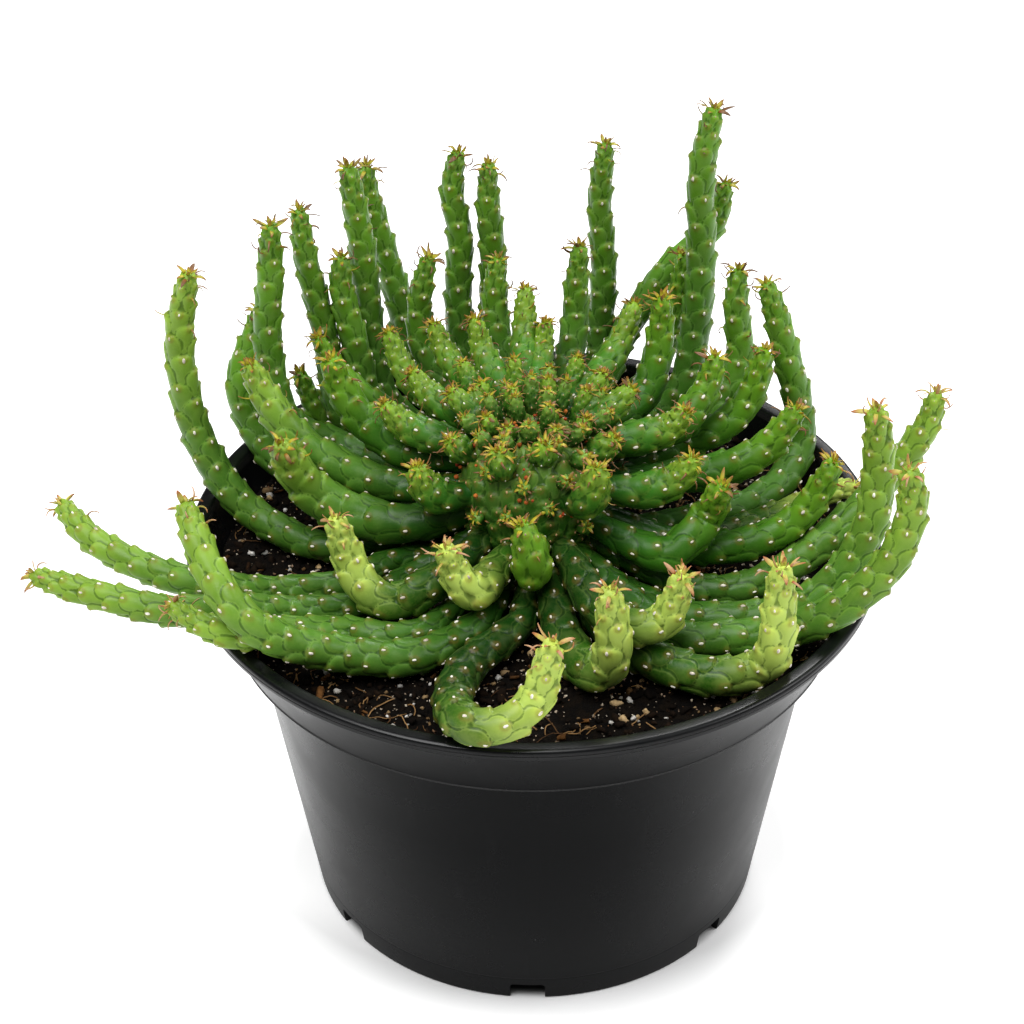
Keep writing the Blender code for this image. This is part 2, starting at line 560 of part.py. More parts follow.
def add_pot(material, collection, cutters):
    """The pot, with drain notches cut through the foot of its wall."""
    shoulder = POT_HEIGHT - COLLAR_DEPTH
    under_lip = POT_HEIGHT - LIP_DEPTH
    profile = [
        (0, FLOOR),
        (wall_radius(FLOOR) - WALL, FLOOR),
        (wall_radius(shoulder) - WALL, shoulder + WALL - STEP_RISE),
        (collar_inside(shoulder + WALL), shoulder + WALL),
        (collar_inside(under_lip), under_lip),
        (RIM_RADIUS - LIP_WIDTH, POT_HEIGHT - 0.8),
        (RIM_RADIUS - LIP_WIDTH + 0.8, POT_HEIGHT),
        (RIM_RADIUS - 1.0, POT_HEIGHT),
        (RIM_RADIUS, POT_HEIGHT - 1.0),
        (RIM_RADIUS, under_lip + 0.4),
        (RIM_RADIUS - 1.2, under_lip),
        (COLLAR_RADIUS, shoulder),
        (SHOULDER_RADIUS, shoulder - STEP_RISE),
        (BASE_RADIUS, 0),
        (BASE_RADIUS - FOOT_WIDTH, 0),
        (BASE_RADIUS - FOOT_WIDTH, FOOT_HEIGHT),
        (BOSS_RADIUS, FOOT_HEIGHT),
        (BOSS_RADIUS, 0),
        (0, 0),
    ]
    pot = turned("pot", profile, material, collection)
    for number in range(NOTCHES):
        bearing = math.radians(FIRST_NOTCH_BEARING + number * 360 / NOTCHES)
        bpy.ops.mesh.primitive_cube_add(size=MM)
        cutter = bpy.context.object
        cutter.name = f"notch_{number}"
        for owner in cutter.users_collection:
            owner.objects.unlink(cutter)
        cutters.objects.link(cutter)
        cutter.scale = (2 * NOTCH_DEPTH, NOTCH_WIDTH, 2 * NOTCH_HEIGHT)
        cutter.rotation_euler = (0, 0, bearing)
        cutter.location = Vector((math.cos(bearing), math.sin(bearing), 0)) * BASE_RADIUS * MM
        cutter.hide_render = True
        cutter.display_type = "WIRE"
    cut = pot.modifiers.new("drain_notches", "BOOLEAN")
    cut.operation = "DIFFERENCE"
    cut.operand_type = "COLLECTION"
    cut.collection = cutters
    cut.solver = "EXACT"
    return pot


def add_soil(material, collection):
    """The potting mix, filling the pot, with a plain hole for the stem."""
    shoulder = POT_HEIGHT - COLLAR_DEPTH
    step = shoulder + WALL + 2 * GAP
    edge = collar_inside(SOIL_TOP) - 2 * GAP
    hole = STEM_RADIUS + GAP
    profile = [(0, SOIL_TOP - STEM_DEPTH), (hole, SOIL_TOP - STEM_DEPTH)]
    profile += [(hole + (edge - hole) * share, SOIL_TOP) for share in (0, 0.2, 0.4, 0.6, 0.8, 1)]
    profile += [
        (collar_inside(step) - 2 * GAP, step),
        (wall_radius(shoulder) - WALL - 2 * GAP, step - STEP_RISE),
        (wall_radius(FLOOR) - WALL - GAP, FLOOR + GAP),
        (0, FLOOR + GAP),
    ]
    soil = turned("soil", profile, material, collection)
    for vertex in soil.data.vertices:
        if abs(vertex.co.z - SOIL_TOP * MM) < 1e-5:
            x, y = vertex.co.x / MM, vertex.co.y / MM
            wave = math.sin(x * 0.31 + 1.3) * math.cos(y * 0.27) + math.sin(x * 0.13 - y * 0.41)
            vertex.co.z += SOIL_RELIEF * 0.5 * wave * MM
    return soil


def new_material(name, colour, roughness):
    """A Principled material."""
    material = bpy.data.materials.new(name)
    material.use_nodes = True
    shader = material.node_tree.nodes["Principled BSDF"]
    shader.inputs["Base Color"].default_value = (*colour, 1)
    shader.inputs["Roughness"].default_value = roughness
    shader.inputs["Metallic"].default_value = 0
    material.diffuse_color = (*colour, 1)
    return material


def new_collection(name):
    """A collection of the scene."""
    made = bpy.data.collections.new(name)
    bpy.context.scene.collection.children.link(made)
    return made


def build():
    """Builds the whole plant in its pot."""
    for old in list(bpy.data.objects):
        bpy.data.objects.remove(old)
    plant = new_collection("potted_euphorbia")
    cutters = new_collection("cutters")
    tones = {
        "back": new_material("arm_green_back", GREEN_BACK, 0.5),
        "middle": new_material("arm_green_middle", GREEN_MIDDLE, 0.45),
        "front": new_material("arm_green_front", GREEN_FRONT, 0.42),
    }
    add_pot(new_material("pot_plastic", (0.012, 0.013, 0.014), 0.42), plant, cutters)
    add_soil(new_material("potting_mix", (0.030, 0.020, 0.014), 0.95), plant)
    courses = [smooth_course(points) for _, _, points in ARMS.values()]
    courses += [smooth_course(points) for _, points in SHORT_ARMS]
    widths = [width for _, width, _ in ARMS.values()] + [width for width, _ in SHORT_ARMS]
    fixed = [False] * len(ARMS) + [True] * len(SHORT_ARMS)
    courses = part_ways(courses, widths, fixed)
    seat = BVHTree.FromBMesh(crown_body())
    for (name, (tone, width, _)), line in zip(ARMS.items(), courses):
        add_arm(f"arm_{name}", line, width, tones[tone], plant, seat)
    add_crown(courses[len(ARMS):], new_material("crown_green", GREEN_CROWN, 0.5), plant)


if __name__ == "__main__":
    build()
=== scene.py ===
"""A potted euphorbia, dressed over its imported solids.

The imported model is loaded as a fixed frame. Every arm, the crown, the pot and the
potting mix get a fine piece that keeps the form of the solid it stands for, and
the grit on the mix is added. The tables are in millimetres and the meshes in
metres, with +Z up and the front towards -Y.
"""

import math
from collections import namedtuple
from functools import cache

import bpy
import numpy as np
from bpy.props import FloatProperty, FloatVectorProperty, IntProperty, PointerProperty
from bpy.types import Operator, Panel, PropertyGroup
from mathutils import Matrix, Vector, noise


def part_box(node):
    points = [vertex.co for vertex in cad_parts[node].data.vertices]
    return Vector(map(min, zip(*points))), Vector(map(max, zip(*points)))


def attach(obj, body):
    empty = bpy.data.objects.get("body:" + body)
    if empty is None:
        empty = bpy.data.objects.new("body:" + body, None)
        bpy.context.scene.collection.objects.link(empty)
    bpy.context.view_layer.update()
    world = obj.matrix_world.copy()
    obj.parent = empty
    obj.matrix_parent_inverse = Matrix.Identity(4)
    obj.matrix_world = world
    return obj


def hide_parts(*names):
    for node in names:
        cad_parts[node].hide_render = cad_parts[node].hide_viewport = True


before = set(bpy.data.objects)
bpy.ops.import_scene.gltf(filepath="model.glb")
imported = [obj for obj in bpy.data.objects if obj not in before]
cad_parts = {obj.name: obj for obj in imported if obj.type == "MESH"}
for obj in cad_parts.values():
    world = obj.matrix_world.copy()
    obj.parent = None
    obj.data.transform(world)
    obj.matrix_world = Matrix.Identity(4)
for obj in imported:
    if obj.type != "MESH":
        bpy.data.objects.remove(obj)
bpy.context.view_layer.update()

bl_info = {
    "name": "Potted Euphorbia",
    "version": (1, 0, 0),
    "blender": (4, 5, 0),
    "location": "3D View > Sidebar > Euphorbia",
    "description": "Models a potted euphorbia with its scaly arms, leaf tufts, potting mix and pot",
    "category": "Object",
}

POT_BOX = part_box("pot")
MM = 0.001

# Pot
GAP = 0.35
POT_HEIGHT = 124.0
RIM_RADIUS = 102.0
LIP_WIDTH = 4.5
LIP_DEPTH = 3.5
LIP_OVERHANG = 3.3
COLLAR_DEPTH = 23.4
COLLAR_RADIUS = 90.8
STEP_RISE = 0.4
SHOULDER_RADIUS = 84.9
BASE_RADIUS = 69.8
WALL = 1.7
FLOOR = 6.5
FOOT_WIDTH = 2.2
FOOT_HEIGHT = 4.9
FOOT_LINE = 9.1
BOSS_RADIUS = 24.0
POT_SIDES = 192
HARD_EDGE_ANGLE = 32

NOTCHES = 7
NOTCH_WIDTH = 10.5
NOTCH_HEIGHT = 6.3
NOTCH_DEPTH = 4.0
NOTCH_ROUNDING = 1.2
FIRST_NOTCH_BEARING = -92.0

# Potting mix, with its unevenness as (wavelength, shift, height)
SOIL_TOP = 112.6
SOIL_RELIEF = 0.7
SOIL_GRID = 205
SOIL_WAVES = ((14.0, (0, 0, 0), 0.9), (5.2, (7, 3, 1), 0.9), (2.1, (1, 9, 5), 0.75),
              (0.95, (4, 2, 8), 0.35))
EDGE_DIP = 0.8
DIP_START = 86
DIP_WIDTH = 8
MIX_EDGE_ANGLE = 60
GRIT_NEAREST = 22
GRIT_FARTHEST = 93.5
GRAIN_LIFT = 0.22
FIBRE_KNOTS = 7
FIBRES_WITHIN = 93

# Crown
STEM_RADIUS = 16.5
CROWN_RADIUS = 21.0
CROWN_TOP = 158.0
CROWN_WIDEST = 138.0
CROWN_SUNK = 6
CROWN_COLUMNS = 168
CROWN_ROW = 0.6
CROWN_SCALE_AREA = 22.0
CROWN_RELIEF = 0.3
CROWN_SKIN_DEPTH = 0.6
CROWN_TUFTS = (0.8, 14)
CROWN_LEAF_LENGTH = 4.0
BUDS_ABOVE = 140
BUD_CHANCE = 0.45
BUD_SIZES = (0.8, 1.5)

# Courses of the arms
ROOT_GIRTH = 0.72
TIP_LOSS = 0.22
COURSE_STEP = 5.0
ROUNDS = 160
PAIRS_EVERY = 16
PAIRS_MARGIN = 8.0
PUSH_SHARE = 0.6
KEEP_OFF_SHARE = 0.8
ROOT_SUNK = 4.0
TIP_TAPER = 0.2
TAPER_LENGTH = 13

# Scales: first the distances from the tip, then the shares of a scale's own size, then the
# marks on it in millimetres
GOLDEN_ANGLE = math.pi * (3 - math.sqrt(5))
YOUNG_SCALE = 0.14
FIRST_SCALE_AT = 0.9
FORMED_AT = 5.0
GROWN_AT = 21.0

ARCH = 0.42
BROW = 0.14
SCALE_REACH = 1.75
SCALE_FALL = 1.55
HALF_SCALE = 0.58
SCAR_AT = 0.19

SCAR_SIZE = 0.86
SCAR_FADE = 13
HALO_RADIUS = 0.8
HALO_WIDTH = 0.35
NUB_RADIUS = 1.1
NUB_HEIGHT = 0.45
SEAM_WIDTH = 0.30
SEAM_DEPTH = 0.26

# Leaves: the widths of a leaf's rows from its foot to its tip, and its bends in degrees
LEAF_LENGTH = 5.0
YOUNG_LEAF_LENGTH = 3.2
YOUNG_WIDTH = 6.4
LEAF_COLUMNS = 3
LEAF_ROWS = 6
LEAF_THICKNESS = 0.24
MIDRIB_DEPTH = 0.16
BROAD_LEAF = (0.8, 1.05, 1.1, 0.95, 0.66, 0.14)
THIN_LEAF = (0.75, 0.8, 0.72, 0.6, 0.42, 0.12)
BROAD_BENDS = (-15, 20, 45, 70)
THIN_BENDS = (-70, -25, 50, 85, 120)

# How each kind of arm is built: columns round it, height of a row, how far its scales stand
# out, length left to its leaves, share of the scale area, leaves in its star, chance that a
# young scale holds a leaf, how many scales that lasts, and share of the leaf length
Habit = namedtuple("Habit", "columns row relief tip_cut fineness leaves sure lasting leaf")
FRONT_HABIT = Habit(68, 0.46, 1.0, 0.5 * LEAF_LENGTH, 0.74, 9, 0.6, 4, 1.15)
ARM_HABIT = Habit(54, 0.58, 1.0, 0.5 * LEAF_LENGTH, 0.9, 13, 0.65, 7, 1.0)
YOUNG_HABIT = Habit(50, 0.6, 0.9, 0.48 * LEAF_LENGTH, 0.62, 18, 0.85, 9, 0.82)
TIP_HABIT = Habit(34, 0.5, 0.5, 0.6 * YOUNG_LEAF_LENGTH, 0.75, 15, 0.8, 6, 1.0)
BUD_HABIT = Habit(28, 0.6, 0.5, 0.3 * YOUNG_LEAF_LENGTH, 1.1, 11, 0.45, 3, 0.9)

# Stage in metres: where the camera stands, its turns to the side, down and over in degrees,
# what the lamps aim at, and the distances from the axis over which the floor's colour and glow
# rise out of the painted shadow under and round the pot.
CAMERA_AT = (0, -0.5796, 0.5315)
CAMERA_TURNS = (-0.62, 34.75, -0.626)
SENSOR = 36.0
LAMPS_AIM = (0, 0, 0.12)
GLOSSY_SKY = 0.45
UNDER_POT_SHADOW = (0.0655, 0.0695)
RING_GLOW = (0.0685, 0.071, 0.0, 0.8)
NEAR_GLOW = (0.067, 0.085, 0.0, 0.66)
FAR_GLOW = (0.07, 0.32, 0.0, 0.34)

# The arms that hang out over the rim, and how far down from its tip each front arm is pale
OUTER_ARMS = ("left_1", "left_2", "left_3", "left_4", "left_5", "left_6", "left_7",
              "right_12", "right_13", "right_14")
PALE_REACH = {"front_1": 135.0, "front_2": 76.0, "front_3": 92.0, "front_4": 112.0,
              "front_5": 64.0, "front_6": 84.0, "front_7": 92.0}

# Each arm: tone, greatest width, and the points of its course from the crown to
# the tip as (bearing in degrees from +X towards +Y, distance from the axis, height).
ARMS = {
    "left_1": ("middle", 9.6, [(178, 12, 126), (180, 46, 119), (-178, 63, 118.5), (173, 82, 120),
                               (170, 95, 131), (169, 103, 151), (168, 105, 176), (167, 100, 200)]),
    "left_2": ("front", 9.4, [(-174, 12, 119), (-169, 40, 118.5), (-160, 59, 118.5), (-160, 80, 121),
                              (-158, 97, 130), (-162, 111, 133), (-169, 127, 137), (-176, 138, 142)]),
    "left_3": ("front", 9.4, [(-160, 12, 127), (-155, 38, 118.5), (-148, 58, 118.5), (-152, 77, 120),
                              (-151, 97, 129), (-153, 113, 132), (-159, 131, 135), (-164, 148, 138)]),
    "left_4": ("middle", 12.4, [(-173, 10, 136), (178, 33, 129), (174, 49, 130), (174, 60, 136),
                                (176, 67, 147), (-179, 70, 160)]),
    "left_5": ("middle", 10.6, [(165, 10, 137), (172, 43, 136), (170, 64, 142), (169, 74, 150),
                               (167, 81, 159), (166, 86, 170)]),
    "left_6": ("front", 9.0, [(-135, 12, 119), (-120, 35, 118.5), (-124, 57, 118.5), (-139, 70, 118.5),
                              (-144, 87, 122), (-142, 102, 129.5), (-147, 110, 133), (-151, 115, 137)]),
    "left_7": ("front", 10.4, [(-118, 12, 119), (-108, 33, 119), (-112, 47, 118.5), (-122, 64, 118.5),
                              (-133, 76, 120), (-139, 93, 129), (-142, 102, 138.5), (-149, 104, 147),
                              (-160, 104, 160)]),
    "back_1": ("back", 9.4, [(166, 12, 119), (153, 40, 118.5), (155, 59, 118.5), (154, 86, 120),
                             (152, 100, 130), (151, 104, 143), (147, 103, 156), (145, 101, 167)]),
    "back_2": ("back", 9.2, [(156, 12, 127), (146, 45, 126), (148, 70, 129), (154, 83, 139),
                             (153, 89, 161), (151, 88, 190), (151, 87, 205)]),
    "back_3": ("back", 8.6, [(146, 12, 119), (142, 35, 119), (144, 50, 118.5), (140, 64, 118.5),
                             (138, 81, 120), (140, 86, 130), (142, 92, 147)]),
    "back_4": ("back", 8.6, [(136, 12, 127), (124, 40, 119), (131, 65, 119), (140, 77, 129),
                             (139, 83, 160), (140, 87, 183), (140, 89, 202)]),
    "back_5": ("middle", 10.6, [(163, 8, 145), (167, 33, 142), (164, 44, 146), (162, 53, 152),
                               (161, 59, 161), (163, 61, 172)]),
    "back_6": ("middle", 7.8, [(140, 8, 143), (137, 45, 138), (143, 66, 148), (143, 77, 156),
                               (144, 81, 164)]),
    "back_7": ("back", 9.2, [(130, 10, 135), (128, 45, 128), (130, 62, 128), (135, 73, 136),
                             (136, 78, 154), (137, 82, 173), (136, 82, 186)]),
    "back_8": ("back", 9.2, [(126, 12, 119), (113, 45, 119), (119, 66, 119), (127, 76, 131),
                             (128, 81, 150), (128, 84, 181), (129, 85, 198), (130, 86, 212)]),
    "back_9": ("back", 9.0, [(116, 12, 127), (104, 48, 121), (109, 76, 119.5), (115, 86, 129),
                             (117, 92, 154), (119, 96, 173), (121, 98, 192), (121, 98, 203)]),
    "back_10": ("back", 8.6, [(116, 8, 143), (113, 36, 138), (115, 57, 138), (119, 68, 149),
                              (119, 71, 162), (118, 70, 173), (116, 69, 183)]),
    "back_11": ("back", 9.0, [(106, 12, 119), (100, 50, 119), (102, 77, 119), (105, 85, 127),
                              (105, 89, 152), (104, 89, 173), (105, 89, 191), (103, 88, 206)]),
    "back_12": ("back", 9.0, [(96, 12, 127), (93, 50, 122), (96, 77, 120), (98, 85, 128),
                              (99, 87, 148), (99, 87, 170), (100, 87, 186), (100, 87, 203)]),
    "back_13": ("back", 9.0, [(96, 8, 144), (98, 35, 143), (99, 49, 149), (99, 57, 162),
                              (98, 59, 173), (96, 60, 182)]),
    "back_14": ("back", 8.8, [(86, 12, 119), (80, 50, 119), (77, 79, 119.5), (74, 86, 129),
                              (74, 89, 157), (75, 90, 172), (76, 91, 186), (75, 91, 208)]),
    "back_15": ("back", 8.6, [(80, 8, 144), (77, 32, 143), (79, 52, 146), (78, 61, 158),
                              (78, 63, 169), (77, 65, 186)]),
    "right_1": ("back", 8.8, [(75, 10, 135), (74, 48, 131), (73, 73, 133), (71, 87, 143),
                              (63, 96, 162), (57, 104, 174), (55, 106, 193)]),
    "right_2": ("back", 8.0, [(66, 12, 119), (70, 50, 119), (69, 80, 120), (65, 91, 127),
                              (62, 96, 144), (61, 98, 162), (61, 99, 172)]),
    "right_3": ("back", 9.6, [(56, 12, 127), (64, 45, 119), (62, 76, 120), (57, 85, 129),
                              (57, 91, 148), (57, 93, 177), (57, 93, 201), (55, 95, 225)]),
    "right_4": ("middle", 9.6, [(48, 8, 145), (44, 40, 148), (46, 51, 156), (48, 56, 168),
                                (48, 56, 180)]),
    "right_5": ("back", 9.4, [(45, 12, 119), (50, 42, 124), (50, 66, 123), (42, 75, 132),
                              (41, 84, 148), (43, 85, 164), (44, 87, 180)]),
    "right_6": ("back", 9.4, [(3, 12, 119), (11, 51, 118.5), (13, 67, 119), (20, 83, 122),
                              (25, 91, 133), (29, 86, 163), (32, 81, 184)]),
    "right_7": ("middle", 9.8, [(36, 10, 137), (30, 46, 136), (26, 61, 141), (25, 71, 150),
                                (25, 76, 168)]),
    "right_8": ("middle", 9.8, [(26, 8, 146), (22, 39, 148), (25, 51, 153), (27, 57, 160),
                                (28, 59, 169)]),
    "right_9": ("middle", 10.4, [(15, 10, 137), (6, 43, 139), (4, 58, 143), (5, 69, 150),
                                (5, 77, 163)]),
    "right_10": ("middle", 9.8, [(-20, 10, 135), (-18, 40, 127), (-14, 59, 127), (-8, 74, 131),
                                 (-6, 82, 141), (-6, 87, 155)]),
    "right_11": ("front", 9.0, [(-19, 12, 119), (6, 44, 118.5), (10, 63, 118.5), (12, 81, 122),
                                (10, 91, 128), (9, 99, 130)]),
    "right_12": ("front", 10.4, [(-43, 12, 119), (-44, 50, 118.5), (-37, 66, 118.5), (-28, 82, 121),
                                (-22, 93, 131), (-18, 99, 147), (-16, 99, 166), (-17, 97, 185)]),
    "right_13": ("front", 9.8, [(-31, 12, 127), (-27, 48, 119), (-21, 65, 119), (-10, 80, 124),
                                (-4, 94, 134), (2, 105, 141), (3, 114, 155), (4, 117, 168)]),
    "right_14": ("front", 10.4, [(-53, 12, 126), (-55, 58, 118.5), (-44, 73, 118.5), (-35, 87, 121),
                                (-31, 100, 131), (-27, 110, 146), (-25, 113, 163), (-26, 111, 178)]),
    "right_15": ("middle", 10.4, [(-40, 10, 136), (-32, 39, 130), (-22, 46, 132), (-14, 51, 138),
                                 (-20, 56, 153)]),
    "front_1": ("front", 11.0, [(-61, 12, 119), (-62, 46, 118.5), (-58, 66, 118.5), (-52, 81, 119),
                               (-46, 89, 122), (-45, 93, 132), (-45, 93, 146), (-45, 93, 160)]),
    "front_2": ("front", 10.6, [(-71, 12, 128), (-70, 38, 124), (-66, 52, 121), (-61, 62, 121),
                               (-55, 66, 125), (-52, 69, 142)]),
    "front_3": ("front", 11.2, [(-80, 12, 123), (-82, 31, 123), (-81, 46, 120), (-77, 62, 119.5),
                                (-73, 67, 123), (-72, 69, 133), (-73, 68, 153)]),
    "front_4": ("front", 10.6, [(-99, 12, 119), (-95, 33, 118.5), (-103, 45, 118.5), (-109, 60, 118.5),
                               (-107, 79, 121), (-101, 100, 130), (-95, 102, 132), (-90, 97, 137),
                               (-88, 96, 148), (-87, 95, 157)]),
    "front_5": ("middle", 11.2, [(-89, 10, 133), (-90, 29, 131), (-91, 31, 139), (-97, 30, 150)]),
    "front_6": ("front", 10.8, [(-106, 12, 129), (-111, 32, 127), (-113, 42, 129), (-119, 44, 137),
                               (-121, 46, 147)]),
    "front_7": ("front", 10.8, [(-140, 12, 130), (-131, 38, 126), (-136, 52, 123), (-143, 58, 126),
                               (-150, 60, 135), (-152, 63, 150)]),
}

# Young arms that are still part of the crown: width, then the same course.
SHORT_ARMS = [
    (10.0, [(165, 8, 148), (163, 30, 150), (163, 40, 153), (163, 47, 161)]),
    (9.4, [(140, 8, 150), (140, 28, 152), (140, 40, 154), (140, 49, 161)]),
    (9.0, [(150, 6, 148), (150, 18, 156), (150, 30, 164)]),
    (9.8, [(-176, 6, 146), (-176, 18, 150), (-176, 26, 158)]),
    (10.8, [(-150, 8, 142), (-160, 26, 141), (-163, 33, 146), (-163, 35, 155)]),
    (10.0, [(-115, 4, 148), (-120, 16, 153), (-123, 19, 164)]),
    (9.4, [(-76, 4, 150), (-76, 12, 156), (-76, 15, 165)]),
    (10.8, [(-60, 6, 142), (-56, 24, 146), (-54, 29, 154), (-54, 30, 164)]),
    (9.6, [(-14, 6, 148), (-14, 18, 153), (-14, 26, 161)]),
    (9.4, [(28, 6, 150), (28, 22, 155), (28, 35, 164)]),
    (10.4, [(10, 6, 148), (9, 30, 152), (8, 40, 155), (7, 46, 163)]),
    (10.6, [(-18, 8, 143), (-18, 30, 143), (-13, 42, 147), (-12, 48, 157)]),
    (8.6, [(120, 6, 150), (120, 30, 153), (121, 50, 157), (122, 58, 168)]),
    (8.6, [(108, 6, 152), (109, 30, 155), (110, 44, 160), (111, 50, 171)]),
    (8.6, [(88, 6, 152), (88, 30, 155), (86, 44, 160), (85, 48, 169)]),
    (8.6, [(60, 6, 152), (60, 30, 155), (59, 50, 160), (59, 62, 172)]),
    (9.0, [(50, 6, 150), (50, 24, 154), (50, 34, 164)]),
    (8.6, [(98, 4, 152), (96, 26, 155), (93, 46, 161), (92, 58, 175)]),
    (8.6, [(134, 6, 148), (134, 34, 148), (134, 54, 152), (133, 65, 166)]),
]

# The buds that crowd the crown between the arms, as (bearing, distance, height of the tip).
CROWN_BUDS = [
    (-98, 21, 152), (-78, 23, 146), (-110, 24, 143), (-64, 24, 155), (-128, 23, 156), (-90, 14, 160),
    (-60, 15, 163), (-130, 14, 163), (-100, 8, 166), (-40, 21, 158), (-20, 16, 163), (-160, 18, 161),
    (165, 22, 160), (150, 16, 166), (140, 24, 163), (115, 20, 164), (92, 16, 168), (78, 26, 165),
    (55, 18, 167), (35, 26, 163), (15, 24, 161), (60, 9, 168), (140, 7, 168), (-10, 5, 168),
    (-95, 26, 136), (-50, 25, 138), (-135, 25, 140),
]

# The youngest tips on top of the crown, as (bearing, distance, height of the tip).
YOUNG_TIPS = [
    (123, 40, 163), (128, 26, 164), (102, 28, 168), (117, 14, 167), (66, 34, 166),
    (41, 22, 165), (76, 20, 166), (180, 14, 165), (-38, 9, 164), (0, 16, 164),
    (-150, 9, 164), (30, 6, 165),
]


def at(bearing, radius, height):
    """The point at this bearing and distance from the axis."""
    angle = math.radians(bearing)
    return np.array([radius * math.cos(angle), radius * math.sin(angle), height])


def spline(knots, parts):
    """A Catmull-Rom curve through the knots, with this many points between each pair."""
    knots = np.vstack([2 * knots[0] - knots[1], knots, 2 * knots[-1] - knots[-2]])
    fine = []
    for a, b, c, d in zip(knots, knots[1:], knots[2:], knots[3:]):
        for t in np.linspace(0, 1, parts, endpoint=False):
            fine.append(0.5 * (2 * b + (c - a) * t + (2 * a - 5 * b + 4 * c - d) * t**2
                               + (3 * b - a - 3 * c + d) * t**3))
    fine.append(knots[-2])
    return np.array(fine)


def run_along(line):
    """The distance from the first point to each point of the line."""
    return np.r_[0, np.cumsum(np.linalg.norm(np.diff(line, axis=0), axis=1))]


def points_at(line, places):
    """The points at these distances along the line."""
    along = run_along(line)
    return np.stack([np.interp(places, along, line[:, axis]) for axis in range(3)], axis=1)


def evenly_spaced(line, step):
    """The same line with its points about one step apart."""
    length = run_along(line)[-1]
    return points_at(line, np.linspace(0, length, max(4, round(length / step) + 1)))


def girth(share):
    """The arm's width at this share of its length, against its greatest width."""
    root = ROOT_GIRTH + (1 - ROOT_GIRTH) * np.minimum(1.0, share / 0.35)
    tip = 1 - TIP_LOSS * np.maximum(0.0, (share - 0.55) / 0.45)
    return root * tip


def crown_radius(height):
    """The radius of the crown's smooth form at this height."""
    if height >= CROWN_WIDEST:
        share = min(1.0, (height - CROWN_WIDEST) / (CROWN_TOP - CROWN_WIDEST))
        return CROWN_RADIUS * (1 - share**2.3) ** (1 / 2.3)
    share = min(1.0, (CROWN_WIDEST - height) / (CROWN_WIDEST - SOIL_TOP))
    return CROWN_RADIUS + (STEM_RADIUS - CROWN_RADIUS) * share**1.8


def keep_off(points, radii, easing):
    """How far to move arm points off the soil, the pot's rim and the crown."""
    move = np.zeros_like(points)
    move[:, 2] += np.maximum(0, SOIL_TOP + SOIL_RELIEF + GAP + radii - points[:, 2])
    out = np.linalg.norm(points[:, :2], axis=1)
    flat = points[:, :2] / np.maximum(out, 1e-6)[:, None]
    rim = np.stack([out - (RIM_RADIUS - LIP_WIDTH / 2), points[:, 2] - POT_HEIGHT + LIP_DEPTH / 2], 1)
    away = np.linalg.norm(rim, axis=1)
    near = np.maximum(0, radii + LIP_WIDTH / 2 + GAP + 0.4 - away) / np.maximum(away, 1e-6)
    move[:, :2] += flat * (rim[:, 0] * near)[:, None]
    move[:, 2] += rim[:, 1] * near
    inner = COLLAR_RADIUS + (points[:, 2] - POT_HEIGHT + COLLAR_DEPTH) * 0.49 - WALL - radii - 2 * GAP
    deep = np.where(points[:, 2] < POT_HEIGHT, np.maximum(0, out - inner) * (out < RIM_RADIUS), 0)
    move[:, :2] -= flat * deep[:, None]
    dome = np.array([crown_radius(height) for height in points[:, 2]]) + radii * easing + GAP
    inside = np.maximum(0, dome - out) * (points[:, 2] < CROWN_TOP)
    move[:, :2] += flat * inside[:, None]
    return move


def close_pairs(points, radii, owner, held):
    """The pairs of points on different arms that could soon touch, each way round."""
    distance = np.linalg.norm(points[:, None] - points[None, :], axis=2)
    reach = radii[:, None] + radii[None, :] + 2 * GAP
    near = (distance < reach + PAIRS_MARGIN) & (owner[:, None] != owner[None, :])
    near &= ~(held[:, None] & held[None, :])
    one, other = np.nonzero(near)
    return one, other, reach[one, other], np.where(held[other], 1.0, 0.5)


def part_ways(courses, widths, fixed):
    """Moves the arms' courses until no two arms touch, and none sinks into anything."""
    owner = np.concatenate([[n] * len(course) for n, course in enumerate(courses)])
    start = np.concatenate(courses)
    held = np.array(fixed)[owner]
    radii = []
    ease = []
    for course, width in zip(courses, widths):
        shares = np.linspace(0, 1, len(course))
        radii.append(width / 2 * girth(shares) + np.where(shares > 0.9, 1.0, 0.0))
        ease.append(np.clip((np.arange(len(course)) * COURSE_STEP - 2) / 12, 0, 1))
    radii = np.concatenate(radii)
    ease = np.concatenate(ease)
    loose = np.where(held, 0, ease)
    points = start.copy()
    for turn in range(ROUNDS):
        if turn % PAIRS_EVERY == 0:
            one, other, reach, share = close_pairs(points, radii, owner, held)
        apart = points[one] - points[other]
        distance = np.linalg.norm(apart, axis=1) + 1e-9
        push = (np.maximum(0, reach - distance) / distance * share * PUSH_SHARE)[:, None] * apart
        move = np.stack([np.bincount(one, push[:, axis], len(points)) for axis in range(3)], axis=1)
        move += keep_off(points, radii, ease) * KEEP_OFF_SHARE
        move *= loose[:, None]
        for n in range(len(courses)):
            mine = owner == n
            moved = (points + move - start)[mine]
            even = moved.copy()
            even[1:-1] = 0.25 * moved[:-2] + 0.5 * moved[1:-1] + 0.25 * moved[2:]
            even[-1] = 0.5 * moved[-2] + 0.5 * moved[-1]
            points[mine] = start[mine] + even * (loose[mine] > 0)[:, None]
    return [points[owner == n] for n in range(len(courses))]


def arm_widths():
    """The greatest widths of the arms and then of the young arms."""
    return [width for _, width, _ in ARMS.values()] + [width for width, _ in SHORT_ARMS]


